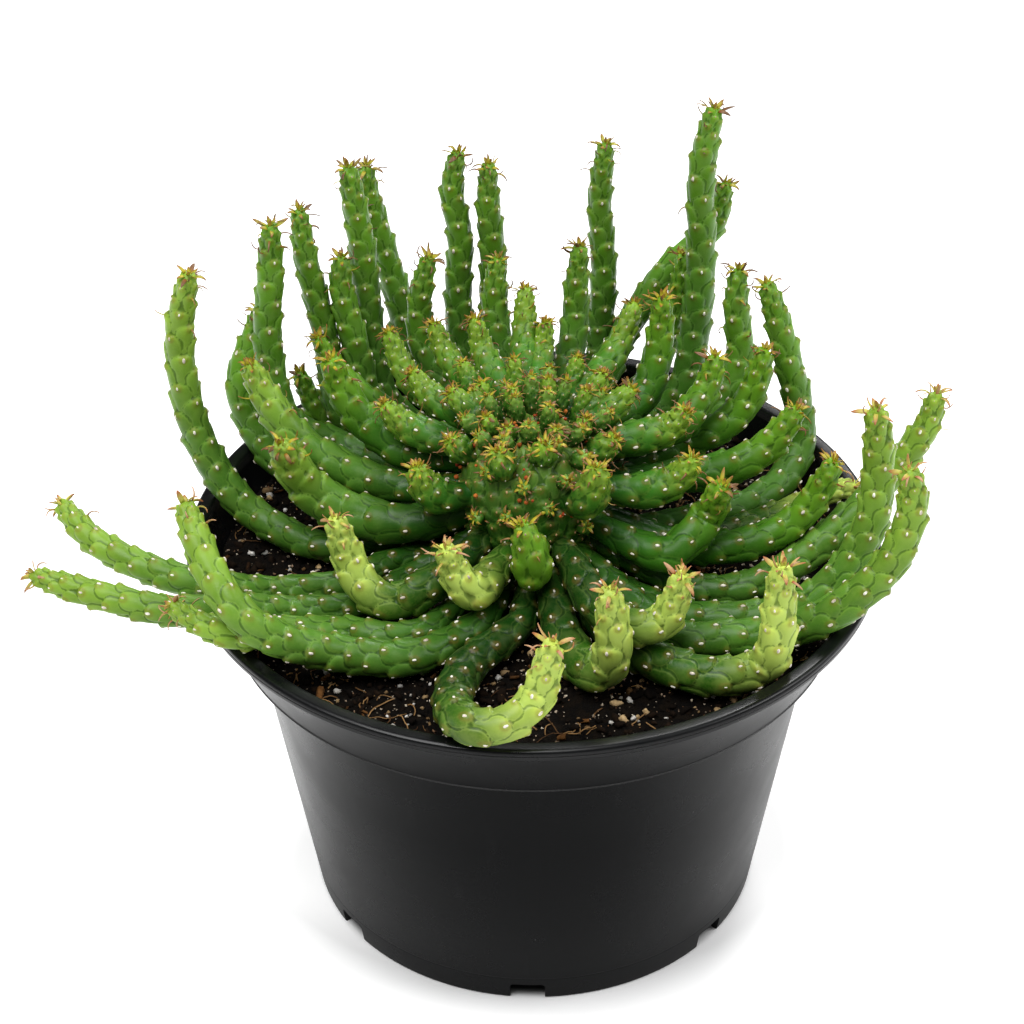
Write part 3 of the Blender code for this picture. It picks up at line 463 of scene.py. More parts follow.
@cache
def arm_courses():
    """The settled courses of the arms and of the young arms, from root to tip."""
    drawn = [points for _, _, points in ARMS.values()] + [points for _, points in SHORT_ARMS]
    courses = [evenly_spaced(spline(np.array([at(*point) for point in points]), 16), COURSE_STEP)
               for points in drawn]
    fixed = [False] * len(ARMS) + [True] * len(SHORT_ARMS)
    courses = part_ways(courses, arm_widths(), fixed)
    return courses[:len(ARMS)], courses[len(ARMS):]


def fill(tree, node, inputs):
    """Gives each named input of the node its value, or the socket that it is linked from."""
    for key, value in inputs.items():
        if isinstance(value, bpy.types.NodeSocket):
            tree.links.new(value, node.inputs[key])
        else:
            node.inputs[key].default_value = value


def add_node(tree, kind, inputs=None, **settings):
    """A shader node with its settings and inputs."""
    made = tree.nodes.new(kind)
    for key, value in settings.items():
        setattr(made, key, value)
    fill(tree, made, inputs or {})
    return made


def attribute(tree, name):
    """The value that the mesh carries under this name."""
    return add_node(tree, "ShaderNodeAttribute", attribute_name=name).outputs["Fac"]


def sum_of(tree, operation, first, second):
    """Two values put together by a Math node."""
    return add_node(tree, "ShaderNodeMath", {0: first, 1: second}, operation=operation).outputs[0]


def ranged(tree, value, low, high, low_out=0.0, high_out=1.0):
    """The value's range from low to high, eased onto the new range."""
    inputs = {"Value": value, "From Min": low, "From Max": high, "To Min": low_out, "To Max": high_out}
    return add_node(tree, "ShaderNodeMapRange", inputs, interpolation_type="SMOOTHSTEP").outputs["Result"]


def mixed(tree, share, first, second, blend="MIX"):
    """One colour laid over another by a share."""
    inputs = {"Fac": share, "Color1": first, "Color2": second}
    return add_node(tree, "ShaderNodeMixRGB", inputs, blend_type=blend).outputs["Color"]


def rgba(colour):
    """A colour with full alpha."""
    return (*colour[:3], 1.0)


def new_group(name, inputs, outputs):
    """A shader node group with its sockets, as (group, its inputs, its outputs)."""
    group = bpy.data.node_groups.new(name, "ShaderNodeTree")
    for label, kind, value in inputs:
        socket = group.interface.new_socket(label, in_out="INPUT", socket_type=kind)
        if value is not None:
            socket.default_value = value
    for label, kind in outputs:
        group.interface.new_socket(label, in_out="OUTPUT", socket_type=kind)
    return group, group.nodes.new("NodeGroupInput"), group.nodes.new("NodeGroupOutput")


def use_group(tree, name, inputs):
    """The named group placed in a material."""
    return add_node(tree, "ShaderNodeGroup", inputs, node_tree=bpy.data.node_groups[name])


def mottling_group():
    """Two colours in soft patches, with fine speckles of the second one."""
    group, given, put = new_group(
        "mottling",
        [("Vector", "NodeSocketVector", None), ("Color", "NodeSocketColor", rgba((0.5, 0.5, 0.5))),
         ("Patch Color", "NodeSocketColor", rgba((0.4, 0.4, 0.4))), ("Scale", "NodeSocketFloat", 200.0),
         ("Amount", "NodeSocketFloat", 0.5)],
        [("Color", "NodeSocketColor"), ("Mask", "NodeSocketFloat")])
    vector = given.outputs["Vector"]
    scale = given.outputs["Scale"]
    broad = add_node(group, "ShaderNodeTexNoise", {
        "Vector": vector, "Scale": scale, "Detail": 3.0, "Roughness": 0.6})
    fine = add_node(group, "ShaderNodeTexNoise", {
        "Vector": vector, "Scale": sum_of(group, "MULTIPLY", scale, 7.0), "Detail": 2.0})
    patches = ranged(group, broad.outputs["Fac"], 0.38, 0.64)
    speckles = ranged(group, fine.outputs["Fac"], 0.46, 0.66, 0.0, 0.6)
    mask = sum_of(group, "MULTIPLY", sum_of(group, "MAXIMUM", patches, speckles), given.outputs["Amount"])
    colour = mixed(group, mask, given.outputs["Color"], given.outputs["Patch Color"])
    group.links.new(colour, put.inputs["Color"])
    group.links.new(mask, put.inputs["Mask"])


def fine_grain_group():
    """The height of a fine grain over a broader unevenness."""
    group, given, put = new_group(
        "fine_grain",
        [("Vector", "NodeSocketVector", None), ("Scale", "NodeSocketFloat", 1500.0),
         ("Unevenness", "NodeSocketFloat", 0.5)],
        [("Height", "NodeSocketFloat")])
    vector = given.outputs["Vector"]
    scale = given.outputs["Scale"]
    grain = add_node(group, "ShaderNodeTexNoise", {
        "Vector": vector, "Scale": scale, "Detail": 3.0, "Roughness": 0.65})
    broad = add_node(group, "ShaderNodeTexNoise", {
        "Vector": vector, "Scale": sum_of(group, "MULTIPLY", scale, 0.14), "Detail": 2.0})
    uneven = sum_of(group, "MULTIPLY", broad.outputs["Fac"], given.outputs["Unevenness"])
    group.links.new(sum_of(group, "ADD", grain.outputs["Fac"], uneven), put.inputs["Height"])


def new_finish(name):
    """A node material, as (material, its tree, its shader, its Object coordinates)."""
    material = bpy.data.materials.new(name)
    material.use_nodes = True
    tree = material.node_tree
    spot = add_node(tree, "ShaderNodeTexCoord").outputs["Object"]
    return material, tree, tree.nodes["Principled BSDF"], spot


def raise_grain(tree, shader, spot, scale, strength, distance, unevenness=0.5):
    """A bump of fine grain on the shader."""
    grain = use_group(tree, "fine_grain", {"Vector": spot, "Scale": scale, "Unevenness": unevenness})
    bump = add_node(tree, "ShaderNodeBump", {
        "Height": grain.outputs["Height"], "Strength": strength, "Distance": distance})
    tree.links.new(bump.outputs["Normal"], shader.inputs["Normal"])


def skin_finish(name, root, middle, tip, groove, bloom, turns):
    """Waxy green skin that pales from the root to the tip, with a painted highlight on each scale's raised
    part and painted shade in the hollows and creases round it.

    The turns are the shares of the arm where the root's, the middle's and the tip's green stand.
    """
    first, second, third = turns
    material, tree, shader, spot = new_finish(name)
    along = attribute(tree, "along")
    lift = attribute(tree, "lift")
    tint = attribute(tree, "tint")
    # The root's green is partly painted shade for the crowded base of each arm.
    lower = mixed(tree, ranged(tree, along, first, second), rgba(root), rgba(middle))
    green = mixed(tree, ranged(tree, along, second - 0.02, third), lower, rgba(tip))
    shaded = mixed(tree, 1.0, green, rgba((0.70, 0.72, 0.60)), "MULTIPLY")
    green = mixed(tree, tint, shaded, green)
    waxy = mixed(tree, ranged(tree, along, first, third, 0.25, 1.0), green, rgba(bloom))
    patches = use_group(tree, "mottling", {
        "Vector": spot, "Color": green, "Patch Color": mixed(tree, 0.4, green, waxy),
        "Scale": 260.0, "Amount": 0.45})
    # Painted highlight: the raised part of each scale, by its lift, is made paler.
    pale = mixed(tree, 1.0, patches.outputs["Color"], rgba((1.4, 1.28, 1.1)), "MULTIPLY")
    green = mixed(tree, ranged(tree, lift, 0.55, 1.0, 0.0, 0.7), patches.outputs["Color"], pale)
    # Painted shade: the low parts of each scale, in the hollows where it meets the next, are mixed towards
    # the crease colour.
    hollow_shade = mixed(tree, 0.35, green, rgba(groove))
    green = mixed(tree, ranged(tree, lift, 0.3, 0.0, 0.0, 0.3), green, hollow_shade)
    # The thin lines along the seams between scales are partly the skin's own darker seam colour and partly
    # painted shade in the creases.
    crease_shade = mixed(tree, 1.0, green, rgba((0.20, 0.30, 0.2)), "MULTIPLY")
    dark = mixed(tree, 0.35, crease_shade, rgba(groove))
    green = mixed(tree, ranged(tree, attribute(tree, "crease"), 0.45, 0.12, 0.0, 0.56), green, dark)
    rim = ranged(tree, attribute(tree, "crease"), 1.1, 0.55, 0.0, 0.22)
    outside = sum_of(tree, "MULTIPLY", rim, ranged(tree, attribute(tree, "crease"), 0.3, 0.55))
    green = mixed(tree, outside, green, waxy)
    green = mixed(tree, attribute(tree, "halo"), green, rgba((0.20, 0.085, 0.02)))
    tree.links.new(green, shader.inputs["Base Color"])
    shine = ranged(tree, patches.outputs["Mask"], 0.0, 0.6, 0.32, 0.46)
    tree.links.new(shine, shader.inputs["Roughness"])
    shader.inputs["Specular IOR Level"].default_value = 0.22
    raise_grain(tree, shader, spot, 1700.0, 0.4, 0.00016, 1.2)
    return material


def leaf_finish(name, base, tip, dry):
    """Small leaves: green at the foot, rusty at the tip, some of them dried."""
    material, tree, shader, spot = new_finish(name)
    reach = attribute(tree, "reach")
    tint = attribute(tree, "tint")
    young = mixed(tree, ranged(tree, reach, 0.26, 0.95), rgba(base), rgba(tip))
    old = mixed(tree, ranged(tree, reach, 0.0, 0.6), rgba(tip), rgba(dry))
    colour = mixed(tree, ranged(tree, tint, 0.42, 0.78), young, old)
    patches = use_group(tree, "mottling", {
        "Vector": spot, "Color": colour, "Patch Color": mixed(tree, 0.5, colour, rgba(dry)),
        "Scale": 900.0, "Amount": 0.5})
    tree.links.new(patches.outputs["Color"], shader.inputs["Base Color"])
    shader.inputs["Roughness"].default_value = 0.5
    raise_grain(tree, shader, spot, 3000.0, 0.3, 0.0001)
    return material


def tinted_finish(name, dark, light, scale, roughness, strength):
    """Grains whose colour runs from dark to light, one shade to each grain, with a rough surface."""
    material, tree, shader, spot = new_finish(name)
    colour = mixed(tree, attribute(tree, "tint"), rgba(dark), rgba(light))
    shade = mixed(tree, 1.0, colour, rgba((0.5, 0.45, 0.4)), "MULTIPLY")
    patches = use_group(tree, "mottling", {
        "Vector": spot, "Color": colour, "Patch Color": shade, "Scale": scale, "Amount": 0.8})
    tree.links.new(patches.outputs["Color"], shader.inputs["Base Color"])
    shader.inputs["Roughness"].default_value = roughness
    shader.inputs["Specular IOR Level"].default_value = 0.1
    raise_grain(tree, shader, spot, scale * 4, strength, 0.0003, 1.0)
    return material


def mix_finish(name, dark, brown, fleck):
    """Peaty potting mix: near black, with brown crumbs and pale flecks."""
    material, tree, shader, spot = new_finish(name)
    patches = use_group(tree, "mottling", {
        "Vector": spot, "Color": rgba(dark), "Patch Color": rgba(brown), "Scale": 340.0, "Amount": 0.8})
    cells = add_node(tree, "ShaderNodeTexVoronoi", {"Vector": spot, "Scale": 520.0})
    chosen = ranged(tree, cells.outputs["Color"], 0.80, 0.86)
    near = ranged(tree, cells.outputs["Distance"], 0.34, 0.2)
    flecks = sum_of(tree, "MULTIPLY", chosen, near)
    dots = add_node(tree, "ShaderNodeTexVoronoi", {"Vector": spot, "Scale": 1150.0})
    picked = sum_of(tree, "MULTIPLY", ranged(tree, dots.outputs["Color"], 0.84, 0.9),
                    ranged(tree, dots.outputs["Distance"], 0.36, 0.2))
    colour = mixed(tree, sum_of(tree, "MAXIMUM", flecks, sum_of(tree, "MULTIPLY", picked, 0.7)),
                   patches.outputs["Color"], rgba(fleck))
    tree.links.new(colour, shader.inputs["Base Color"])
    shader.inputs["Roughness"].default_value = 0.9
    shader.inputs["Specular IOR Level"].default_value = 0.1
    crumbs = add_node(tree, "ShaderNodeTexVoronoi", {"Vector": spot, "Scale": 900.0})
    grain = use_group(tree, "fine_grain", {"Vector": spot, "Scale": 1800.0, "Unevenness": 1.0})
    height = sum_of(tree, "SUBTRACT", grain.outputs["Height"], crumbs.outputs["Distance"])
    bump = add_node(tree, "ShaderNodeBump", {"Height": height, "Strength": 0.9, "Distance": 0.0007})
    tree.links.new(bump.outputs["Normal"], shader.inputs["Normal"])
    return material


def plastic_finish(name, black, dust_and_highlight):
    """Moulded black plastic: satin, with a fine grain, faint specks of dust, light scuffs and painted
    highlight lines along the collar's foot and the lip.
    """
    material, tree, shader, spot = new_finish(name)
    specks = add_node(tree, "ShaderNodeTexVoronoi", {"Vector": spot, "Scale": 420.0})
    chosen = ranged(tree, specks.outputs["Color"], 0.93, 0.96)
    dots = sum_of(tree, "MULTIPLY", chosen, ranged(tree, specks.outputs["Distance"], 0.16, 0.05))
    stretched = add_node(tree, "ShaderNodeMapping", {"Vector": spot, "Scale": (1.0, 1.0, 0.12)})
    scuffs = add_node(tree, "ShaderNodeTexNoise", {
        "Vector": stretched.outputs["Vector"], "Scale": 160.0, "Detail": 5.0, "Roughness": 0.75})
    scuffed = ranged(tree, scuffs.outputs["Fac"], 0.56, 0.78, 0.0, 0.04)
    height = add_node(tree, "ShaderNodeSeparateXYZ", {"Vector": spot}).outputs["Z"]
    scuffs_and_highlights = scuffed
    # Painted highlights: thin pale lines at the collar's foot and on the lip, mixed in with the real
    # scuffs.
    for level, strength in ((POT_HEIGHT - COLLAR_DEPTH + 0.33, 0.6), (POT_HEIGHT - LIP_DEPTH + 1.2, 0.3)):
        off = sum_of(tree, "ABSOLUTE", sum_of(tree, "SUBTRACT", height, level * MM), 0.0)
        scuffs_and_highlights = sum_of(tree, "MAXIMUM", scuffs_and_highlights, ranged(tree, off, 0.26 * MM, 0.08 * MM, 0.0, strength))
    # A faint lighter band on the lip's outer face, painted in with the highlight lines.
    lip = sum_of(tree, "MULTIPLY",
                 ranged(tree, height, (POT_HEIGHT - LIP_DEPTH) * MM, (POT_HEIGHT - LIP_DEPTH + 0.4) * MM),
                 ranged(tree, height, (POT_HEIGHT - 1.2) * MM, (POT_HEIGHT - 0.6) * MM, 0.2, 0.0))
    scuffs_and_highlights = sum_of(tree, "MAXIMUM", scuffs_and_highlights, lip)
    colour = mixed(tree, sum_of(tree, "ADD", sum_of(tree, "MULTIPLY", dots, 0.5), scuffs_and_highlights),
                   rgba(black), rgba(dust_and_highlight))
    tree.links.new(colour, shader.inputs["Base Color"])
    haze = add_node(tree, "ShaderNodeTexNoise", {"Vector": spot, "Scale": 45.0, "Detail": 4.0})
    rough = sum_of(tree, "ADD", ranged(tree, haze.outputs["Fac"], 0.3, 0.7, 0.25, 0.33),
                   sum_of(tree, "MULTIPLY", dots, 0.3))
    tree.links.new(rough, shader.inputs["Roughness"])
    shader.inputs["Specular IOR Level"].default_value = 0.31
    raise_grain(tree, shader, spot, 2600.0, 0.12, 0.0001, 0.6)
    return material


def paper_finish(name, colour, glow):
    """The plain pale floor, glowing like a light table, with a painted shadow under and round the pot that
    is darker in front and on the right; in reflections its front is painted dark.
    """
    material, tree, shader, spot = new_finish(name)
    patches = use_group(tree, "mottling", {
        "Vector": spot, "Color": rgba(colour), "Patch Color": rgba([c * 0.985 for c in colour]),
        "Scale": 6.0, "Amount": 0.5})
    shader.inputs["Roughness"].default_value = 0.9
    shader.inputs["Emission Strength"].default_value = glow
    rays = add_node(tree, "ShaderNodeLightPath").outputs
    split = add_node(tree, "ShaderNodeSeparateXYZ", {"Vector": spot})
    aside = split.outputs["X"]
    depth = split.outputs["Y"]
    # Painted dark reflection: to glossy rays the floor in front of the pot is dark, while the camera sees
    # it evenly pale.
    behind = ranged(tree, depth, -0.13, 0.07, 0.11, 0.98)
    share = add_node(tree, "ShaderNodeMix", {
        "Factor": rays["Is Glossy Ray"], "A": 1.0, "B": behind}).outputs["Result"]
    out = add_node(tree, "ShaderNodeVectorMath", {0: spot}, operation="LENGTH").outputs["Value"]
    # Painted shadow under the pot: the floor's colour falls nearly to black inside the pot's foot.
    beneath = sum_of(tree, "MULTIPLY", share, ranged(tree, out, *UNDER_POT_SHADOW, 0.03, 1.0))
    seen = mixed(tree, 1.0, patches.outputs["Color"], beneath, "MULTIPLY")
    tree.links.new(seen, shader.inputs["Base Color"])
    # The glow rises with the distance from the pot, which leaves a painted soft shadow round it.
    near = ranged(tree, out, *NEAR_GLOW)
    far = ranged(tree, out, *FAR_GLOW)
    lit = sum_of(tree, "MULTIPLY", sum_of(tree, "ADD", near, far), share)
    # For the camera only, a ring next to the pot's foot glows brighter, except in front and less on the
    # right, which shapes the painted shadow there.
    ring = sum_of(tree, "MULTIPLY", ranged(tree, out, *RING_GLOW), ranged(tree, depth, -0.065, -0.02))
    ring = sum_of(tree, "MULTIPLY", ring, ranged(tree, aside, -0.02, 0.05, 1.0, 0.68))
    ring = sum_of(tree, "MULTIPLY", ring, rays["Is Camera Ray"])
    lit = sum_of(tree, "MAXIMUM", lit, ring)
    tree.links.new(mixed(tree, 1.0, rgba((1, 1, 1)), lit, "MULTIPLY"), shader.inputs["Emission Color"])
    return material


def smooth(share):
    """Eases from 0 to 1 as the share goes from 0 to 1."""
    share = np.clip(share, 0.0, 1.0)
    return share * share * (3 - 2 * share)


def frames(line):
    """An unturned frame at each point of the line: tangent, side and up."""
    tangents = np.gradient(line, axis=0)
    tangents /= np.linalg.norm(tangents, axis=1)[:, None]
    side = np.cross(tangents[0], (0, 0, 1.0))
    if np.linalg.norm(side) < 0.1:
        side = np.cross(tangents[0], (0, 1.0, 0))
    sides = []
    for tangent in tangents:
        side = side - tangent * side.dot(tangent)
        side /= np.linalg.norm(side)
        sides.append(side)
    sides = np.array(sides)
    return tangents, sides, np.cross(tangents, sides)


def wall_radius(height):
    """The pot's outer radius at this height, below the shoulder."""
    share = height / (POT_HEIGHT - COLLAR_DEPTH)
    return BASE_RADIUS + (SHOULDER_RADIUS - BASE_RADIUS) * share


def collar_inside(height):
    """The pot's inner radius at this height, between the shoulder and the lip."""
    low = POT_HEIGHT - COLLAR_DEPTH + WALL
    high = POT_HEIGHT - LIP_DEPTH
    share = (height - low) / (high - low)
    return COLLAR_RADIUS - WALL + (RIM_RADIUS - LIP_WIDTH - COLLAR_RADIUS + WALL) * share


def start_edit():
    """Goes to edit mode with all of the active mesh selected."""
    bpy.ops.object.mode_set(mode="EDIT")
    bpy.ops.mesh.select_all(action="SELECT")


def end_edit():
    """Goes back to object mode."""
    bpy.ops.object.mode_set(mode="OBJECT")


def clear_selection():
    """Goes to object mode with nothing selected."""
    if bpy.context.mode != "OBJECT":
        end_edit()
    bpy.ops.object.select_all(action="DESELECT")


def pick(made):
    """Makes this object the active one and the only one selected."""
    clear_selection()
    made.select_set(True)
    bpy.context.view_layer.objects.active = made


def added(name):
    """The object that was just added, under its own name."""
    made = bpy.context.object
    made.name = name
    made.data.name = name
    return made


def select_points(made, chosen):
    """Goes to edit mode with only these points of the active mesh selected."""
    bpy.ops.object.mode_set(mode="EDIT")
    bpy.ops.mesh.select_mode(type="VERT")
    bpy.ops.mesh.select_all(action="DESELECT")
    end_edit()
    made.data.vertices.foreach_set("select", np.asarray(chosen, dtype=bool))
    bpy.ops.object.mode_set(mode="EDIT")


def points_of(made):
    """The mesh's points, in metres."""
    points = np.empty(len(made.data.vertices) * 3)
    made.data.vertices.foreach_get("co", points)
    return points.reshape(-1, 3)


def store(made, name, values):
    """Keeps one value a point on the mesh, for its material."""
    kept = made.data.attributes.get(name) or made.data.attributes.new(name, "FLOAT", "POINT")
    kept.data.foreach_set("value", np.asarray(values, dtype=np.float32).ravel())


def joined(name, parts):
    """The parts as one piece of this name."""
    clear_selection()
    for part in parts:
        part.select_set(True)
    bpy.context.view_layer.objects.active = parts[0]
    bpy.ops.object.join()
    parts[0].name = name
    parts[0].data.name = name
    return parts[0]


def settle(piece, slot, *nodes):
    """Puts a finished piece on the body, in place of the solids that it stands for."""
    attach(piece, "root")
    if nodes:
        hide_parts(*nodes)


def pattern_of(made):
    """A small shape's points in millimetres, its faces and its reach; the shape itself goes."""
    points = points_of(made) / MM
    faces = [tuple(face.vertices) for face in made.data.polygons]
    reach = np.zeros(len(points))
    if "reach" in made.data.attributes:
        made.data.attributes["reach"].data.foreach_get("value", reach)
    bpy.data.objects.remove(made)
    return points, faces, reach


def stamp(name, copies, material):
    """One mesh of small shapes, each given as (pattern, matrix, place, tint)."""
    points = []
    faces = []
    reaches = []
    tints = []
    total = 0
    for (shape, sides, reach), matrix, place, tint in copies:
        points.append(shape @ matrix.T + place)
        faces += [tuple(corner + total for corner in side) for side in sides]
        reaches.append(reach)
        tints.append(np.full(len(shape), tint))
        total += len(shape)
    mesh = bpy.data.meshes.new(name)
    mesh.from_pydata((np.concatenate(points) * MM).tolist(), [], faces)
    made = bpy.data.objects.new(name, mesh)
    bpy.context.scene.collection.objects.link(made)
    made.data.materials.append(material)
    store(made, "reach", np.concatenate(reaches))
    store(made, "tint", np.concatenate(tints))
    pick(made)
    bpy.ops.object.shade_smooth()
    return made


def model_leaf(name, bend, widths):
    """A small leaf along +Y, folded along its midrib and bent away from +Z by these degrees."""
    clear_selection()
    bpy.ops.mesh.primitive_grid_add(x_subdivisions=LEAF_COLUMNS - 1, y_subdivisions=LEAF_ROWS - 1, size=MM)
    leaf = added(name)
    start_edit()
    bpy.ops.transform.resize(value=(1.0, LEAF_LENGTH, 1.0), center_override=(0, 0, 0))
    bpy.ops.transform.translate(value=(0, LEAF_LENGTH / 2 * MM, 0))
    end_edit()
    numbers = np.arange(LEAF_COLUMNS * LEAF_ROWS)
    rows = numbers // LEAF_COLUMNS
    last = LEAF_ROWS - 1
    store(leaf, "reach", rows / last)
    for row, width in enumerate(widths):
        select_points(leaf, rows == row)
        bpy.ops.transform.resize(value=(width, 1, 1), center_override=(0, 0, 0))
        end_edit()
    select_points(leaf, (numbers % LEAF_COLUMNS == 1) & (rows > 0) & (rows < last))
    bpy.ops.transform.translate(value=(0, 0, -MIDRIB_DEPTH * MM))
    end_edit()
    for row in range(1, last):
        hinge = points_of(leaf)[row * LEAF_COLUMNS]
        select_points(leaf, rows > row)
        bpy.ops.transform.rotate(value=math.radians(bend) / (last - 1), orient_axis="X",
                                 center_override=(0, hinge[1], hinge[2]))
        end_edit()
    thick = leaf.modifiers.new("thickness", "SOLIDIFY")
    thick.thickness = LEAF_THICKNESS * MM
    thick.offset = 0
    pick(leaf)
    bpy.ops.object.modifier_apply(modifier=thick.name)
    return pattern_of(leaf)


def model_scar():
    """The oval scar that a fallen leaf leaves: a low dome of unit size, with +Z outwards."""
    clear_selection()
    bpy.ops.mesh.primitive_uv_sphere_add(segments=8, ring_count=4, radius=MM)
    scar = added("scar")
    start_edit()
    bpy.ops.transform.resize(value=(0.48, 0.82, 0.36), center_override=(0, 0, 0))
    end_edit()
    return pattern_of(scar)


def model_grain(name, subdivisions, roughness, seed):
    """An uneven grain about one across."""
    clear_selection()
    bpy.ops.mesh.primitive_ico_sphere_add(subdivisions=subdivisions, radius=0.5 * MM)
    grain = added(name)
    start_edit()
    bpy.ops.transform.vertex_random(offset=roughness * MM, uniform=0.4, normal=0.5, seed=seed)
    end_edit()
    return pattern_of(grain)


def scale_places(length, radius_at, cell, relief, rng):
    """Scales in a golden spiral down from the tip, as (distance, turn, size, height, tint)."""
    scales = []
    down = FIRST_SCALE_AT
    turn = rng.uniform(0, math.tau)
    while down < length:
        area = cell * (YOUNG_SCALE + (1 - YOUNG_SCALE) * smooth(down / GROWN_AT))
        size = math.sqrt(area) * rng.uniform(0.95, 1.06)
        old = 1 - 0.38 * smooth((down / length - 0.3) / 0.6)
        height = relief * size * old * rng.uniform(0.82, 1.15)
        scales.append((down + rng.normal(0, 0.035) * size, turn + rng.normal(0, 0.05), size,
                       height, rng.uniform(0, 1)))
        down += area / (math.tau * max(radius_at(down), 1.2))
        turn += GOLDEN_ANGLE
    return scales


def steepness(values, rise, round_step):
    """How steeply the values change round each point of the rolled grid, by its steeper side."""
    up = np.abs(np.diff(values, axis=0)) / rise[:, None]
    up = np.maximum(np.vstack([up[:1], up]), np.vstack([up, up[-1:]]))
    aside = np.abs(np.diff(values, axis=1)) / round_step[:, None]
    aside = np.maximum(np.hstack([aside[:, -1:], aside]), np.hstack([aside, aside[:, :1]]))
    return np.hypot(up, aside)


def blurred(values):
    """The values on a rolled grid, softened with their neighbours."""
    along = np.vstack([values[:1], values, values[-1:]])
    values = 0.25 * along[:-2] + 0.5 * along[1:-1] + 0.25 * along[2:]
    aside = np.hstack([values[:, -2:-1], values, values[:, 1:2]])
    return 0.25 * aside[:, :-2] + 0.5 * aside[:, 1:-1] + 0.25 * aside[:, 2:]


def overlap(down, turns, radius, scales):
    """The heights of the overlapping scales over the skin, with crease, lift, halo and tint."""
    shape = (len(down), len(turns))
    top = np.zeros(shape)
    second = np.zeros(shape)
    full = np.full(shape, scales[-1][3])
    tint = np.full(shape, 0.5)
    halo = np.zeros(shape)
    nub = np.zeros(shape)
    for place, turn, size, height, shade in scales:
        rows = np.nonzero((down > place) & (down < place + SCALE_REACH * size))[0]
        if not len(rows):
            continue
        below = ((down[rows] - place) / size)[:, None]
        aside = (turns - turn + math.pi) % math.tau - math.pi
        across = aside[None, :] * radius[rows][:, None] / size
        front = np.clip(below / ARCH, 0, 1)
        half = HALF_SCALE * np.sqrt(1 - (1 - front)**2) * (1 - 0.5 * smooth((below - ARCH) / 1.2))
        inside = np.clip(1 - np.abs(across / np.maximum(half, 1e-6))**2.4, 0, 1)
        rise = np.sqrt(1 - (1 - np.clip(below / BROW, 0, 1))**2)
        fall = np.clip(1 - (below - BROW) / SCALE_FALL, 0, 1)
        field = height * np.minimum(rise, fall) * inside**0.5
        over = field > top[rows]
        second[rows] = np.where(over, top[rows], np.maximum(second[rows], field))
        top[rows] = np.where(over, field, top[rows])
        full[rows] = np.where(over, height, full[rows])
        tint[rows] = np.where(over, shade, tint[rows])
        away = np.hypot(across, (below - SCAR_AT) * 0.8) * size
        brown = smooth((size - 1.8) / 3) * np.exp(-((away - HALO_RADIUS) / HALO_WIDTH)**2)
        halo[rows] = np.where(over, brown, halo[rows])
        nub[rows] = np.where(over, np.exp(-(away / NUB_RADIUS)**2), nub[rows])
    lift = top / np.maximum(full, 1e-6)
    round_step = np.maximum(radius, 0.2) * (turns[1] - turns[0])
    rise = np.maximum(np.abs(np.diff(down)), 1e-6)
    to_seam = (top - second) / (steepness(top - second, rise, round_step) + 1e-6)
    formed = smooth(down / FORMED_AT)[:, None]
    crease = np.clip(to_seam + 2 * (1 - formed), 0, 2)
    groove = blurred(np.exp(-(to_seam / (1.3 * SEAM_WIDTH))**2)) * formed
    heights = full * lift**0.8 + NUB_HEIGHT * nub * lift - SEAM_DEPTH * groove
    lift = 1 - (1 - lift) * formed
    halo = halo * (0.35 + 0.4 * np.exp(-down / 9.0))[:, None]
    return heights, crease, lift, halo, tint


def skin(name, line, radius, along, scales, columns, material):
    """A closed tube of overlapping scales about the line, and where each scale's scar lies."""
    rows = len(line)
    clear_selection()
    bpy.ops.mesh.primitive_grid_add(x_subdivisions=columns, y_subdivisions=rows, size=MM)
    tube = added(name)
    tangents, sides, ups = frames(line)
    run = run_along(line)
    lean = np.gradient(radius)
    forward = np.gradient(run)
    slope = np.hypot(lean, forward) + 1e-9
    out_part = forward / slope
    up_part = -lean / slope
    down = np.r_[0, np.cumsum(np.hypot(np.diff(run), np.diff(radius))[::-1])][::-1]
    turns = np.linspace(0, math.tau, columns + 1)
    top, crease, lift, halo, tint = overlap(down, turns, radius, scales)
    edge = smooth(radius / 1.2)[:, None]
    top = top * edge
    radial = (sides[:, None] * np.cos(turns)[None, :, None] + ups[:, None] * np.sin(turns)[None, :, None])
    points = line[:, None] + radial * (radius[:, None] + top * out_part[:, None])[:, :, None]
    points = points + tangents[:, None] * (top * up_part[:, None])[:, :, None]
    points[:, -1] = points[:, 0]
    points[-1] = points[-1].mean(axis=0)
    points = np.concatenate([np.repeat(line[:1, None], columns + 1, axis=1), points])
    tube.data.vertices.foreach_set("co", (points * MM).ravel())

    def padded(values):
        """The values with their first row once more, for the cap at the root."""
        return np.concatenate([values[:1], values])

    store(tube, "along", padded(np.repeat(along[:, None], columns + 1, axis=1)))
    store(tube, "crease", padded(crease))
    store(tube, "lift", padded(lift))
    store(tube, "halo", padded(halo))
    store(tube, "tint", padded(tint))
    tube.data.materials.append(material)
    pick(tube)
    start_edit()
    bpy.ops.mesh.remove_doubles(threshold=1e-7)
    end_edit()
    bpy.ops.object.shade_smooth()

    spots = []
    for place, turn, size, height, _ in scales:
        here = place + SCAR_AT * size
        if here > down[0]:
            continue
        row = np.interp(-here, -down, np.arange(rows))
        low = min(int(row), rows - 2)
        share = row - low

        def between(values):
            """The value at the scar, between its two rows."""
            return values[low] * (1 - share) + values[low + 1] * share

        axis = between(tangents)
        radial = between(sides) * math.cos(turn) + between(ups) * math.sin(turn)
        normal = radial * between(out_part) + axis * between(up_part)
        spot = between(line) + radial * between(radius) + normal * (0.96 * height + NUB_HEIGHT)
        spots.append((spot, normal / np.linalg.norm(normal), axis, radial, size))
    apex = (line[-1], tangents[-1], sides[-1], ups[-1])
    return tube, spots, apex


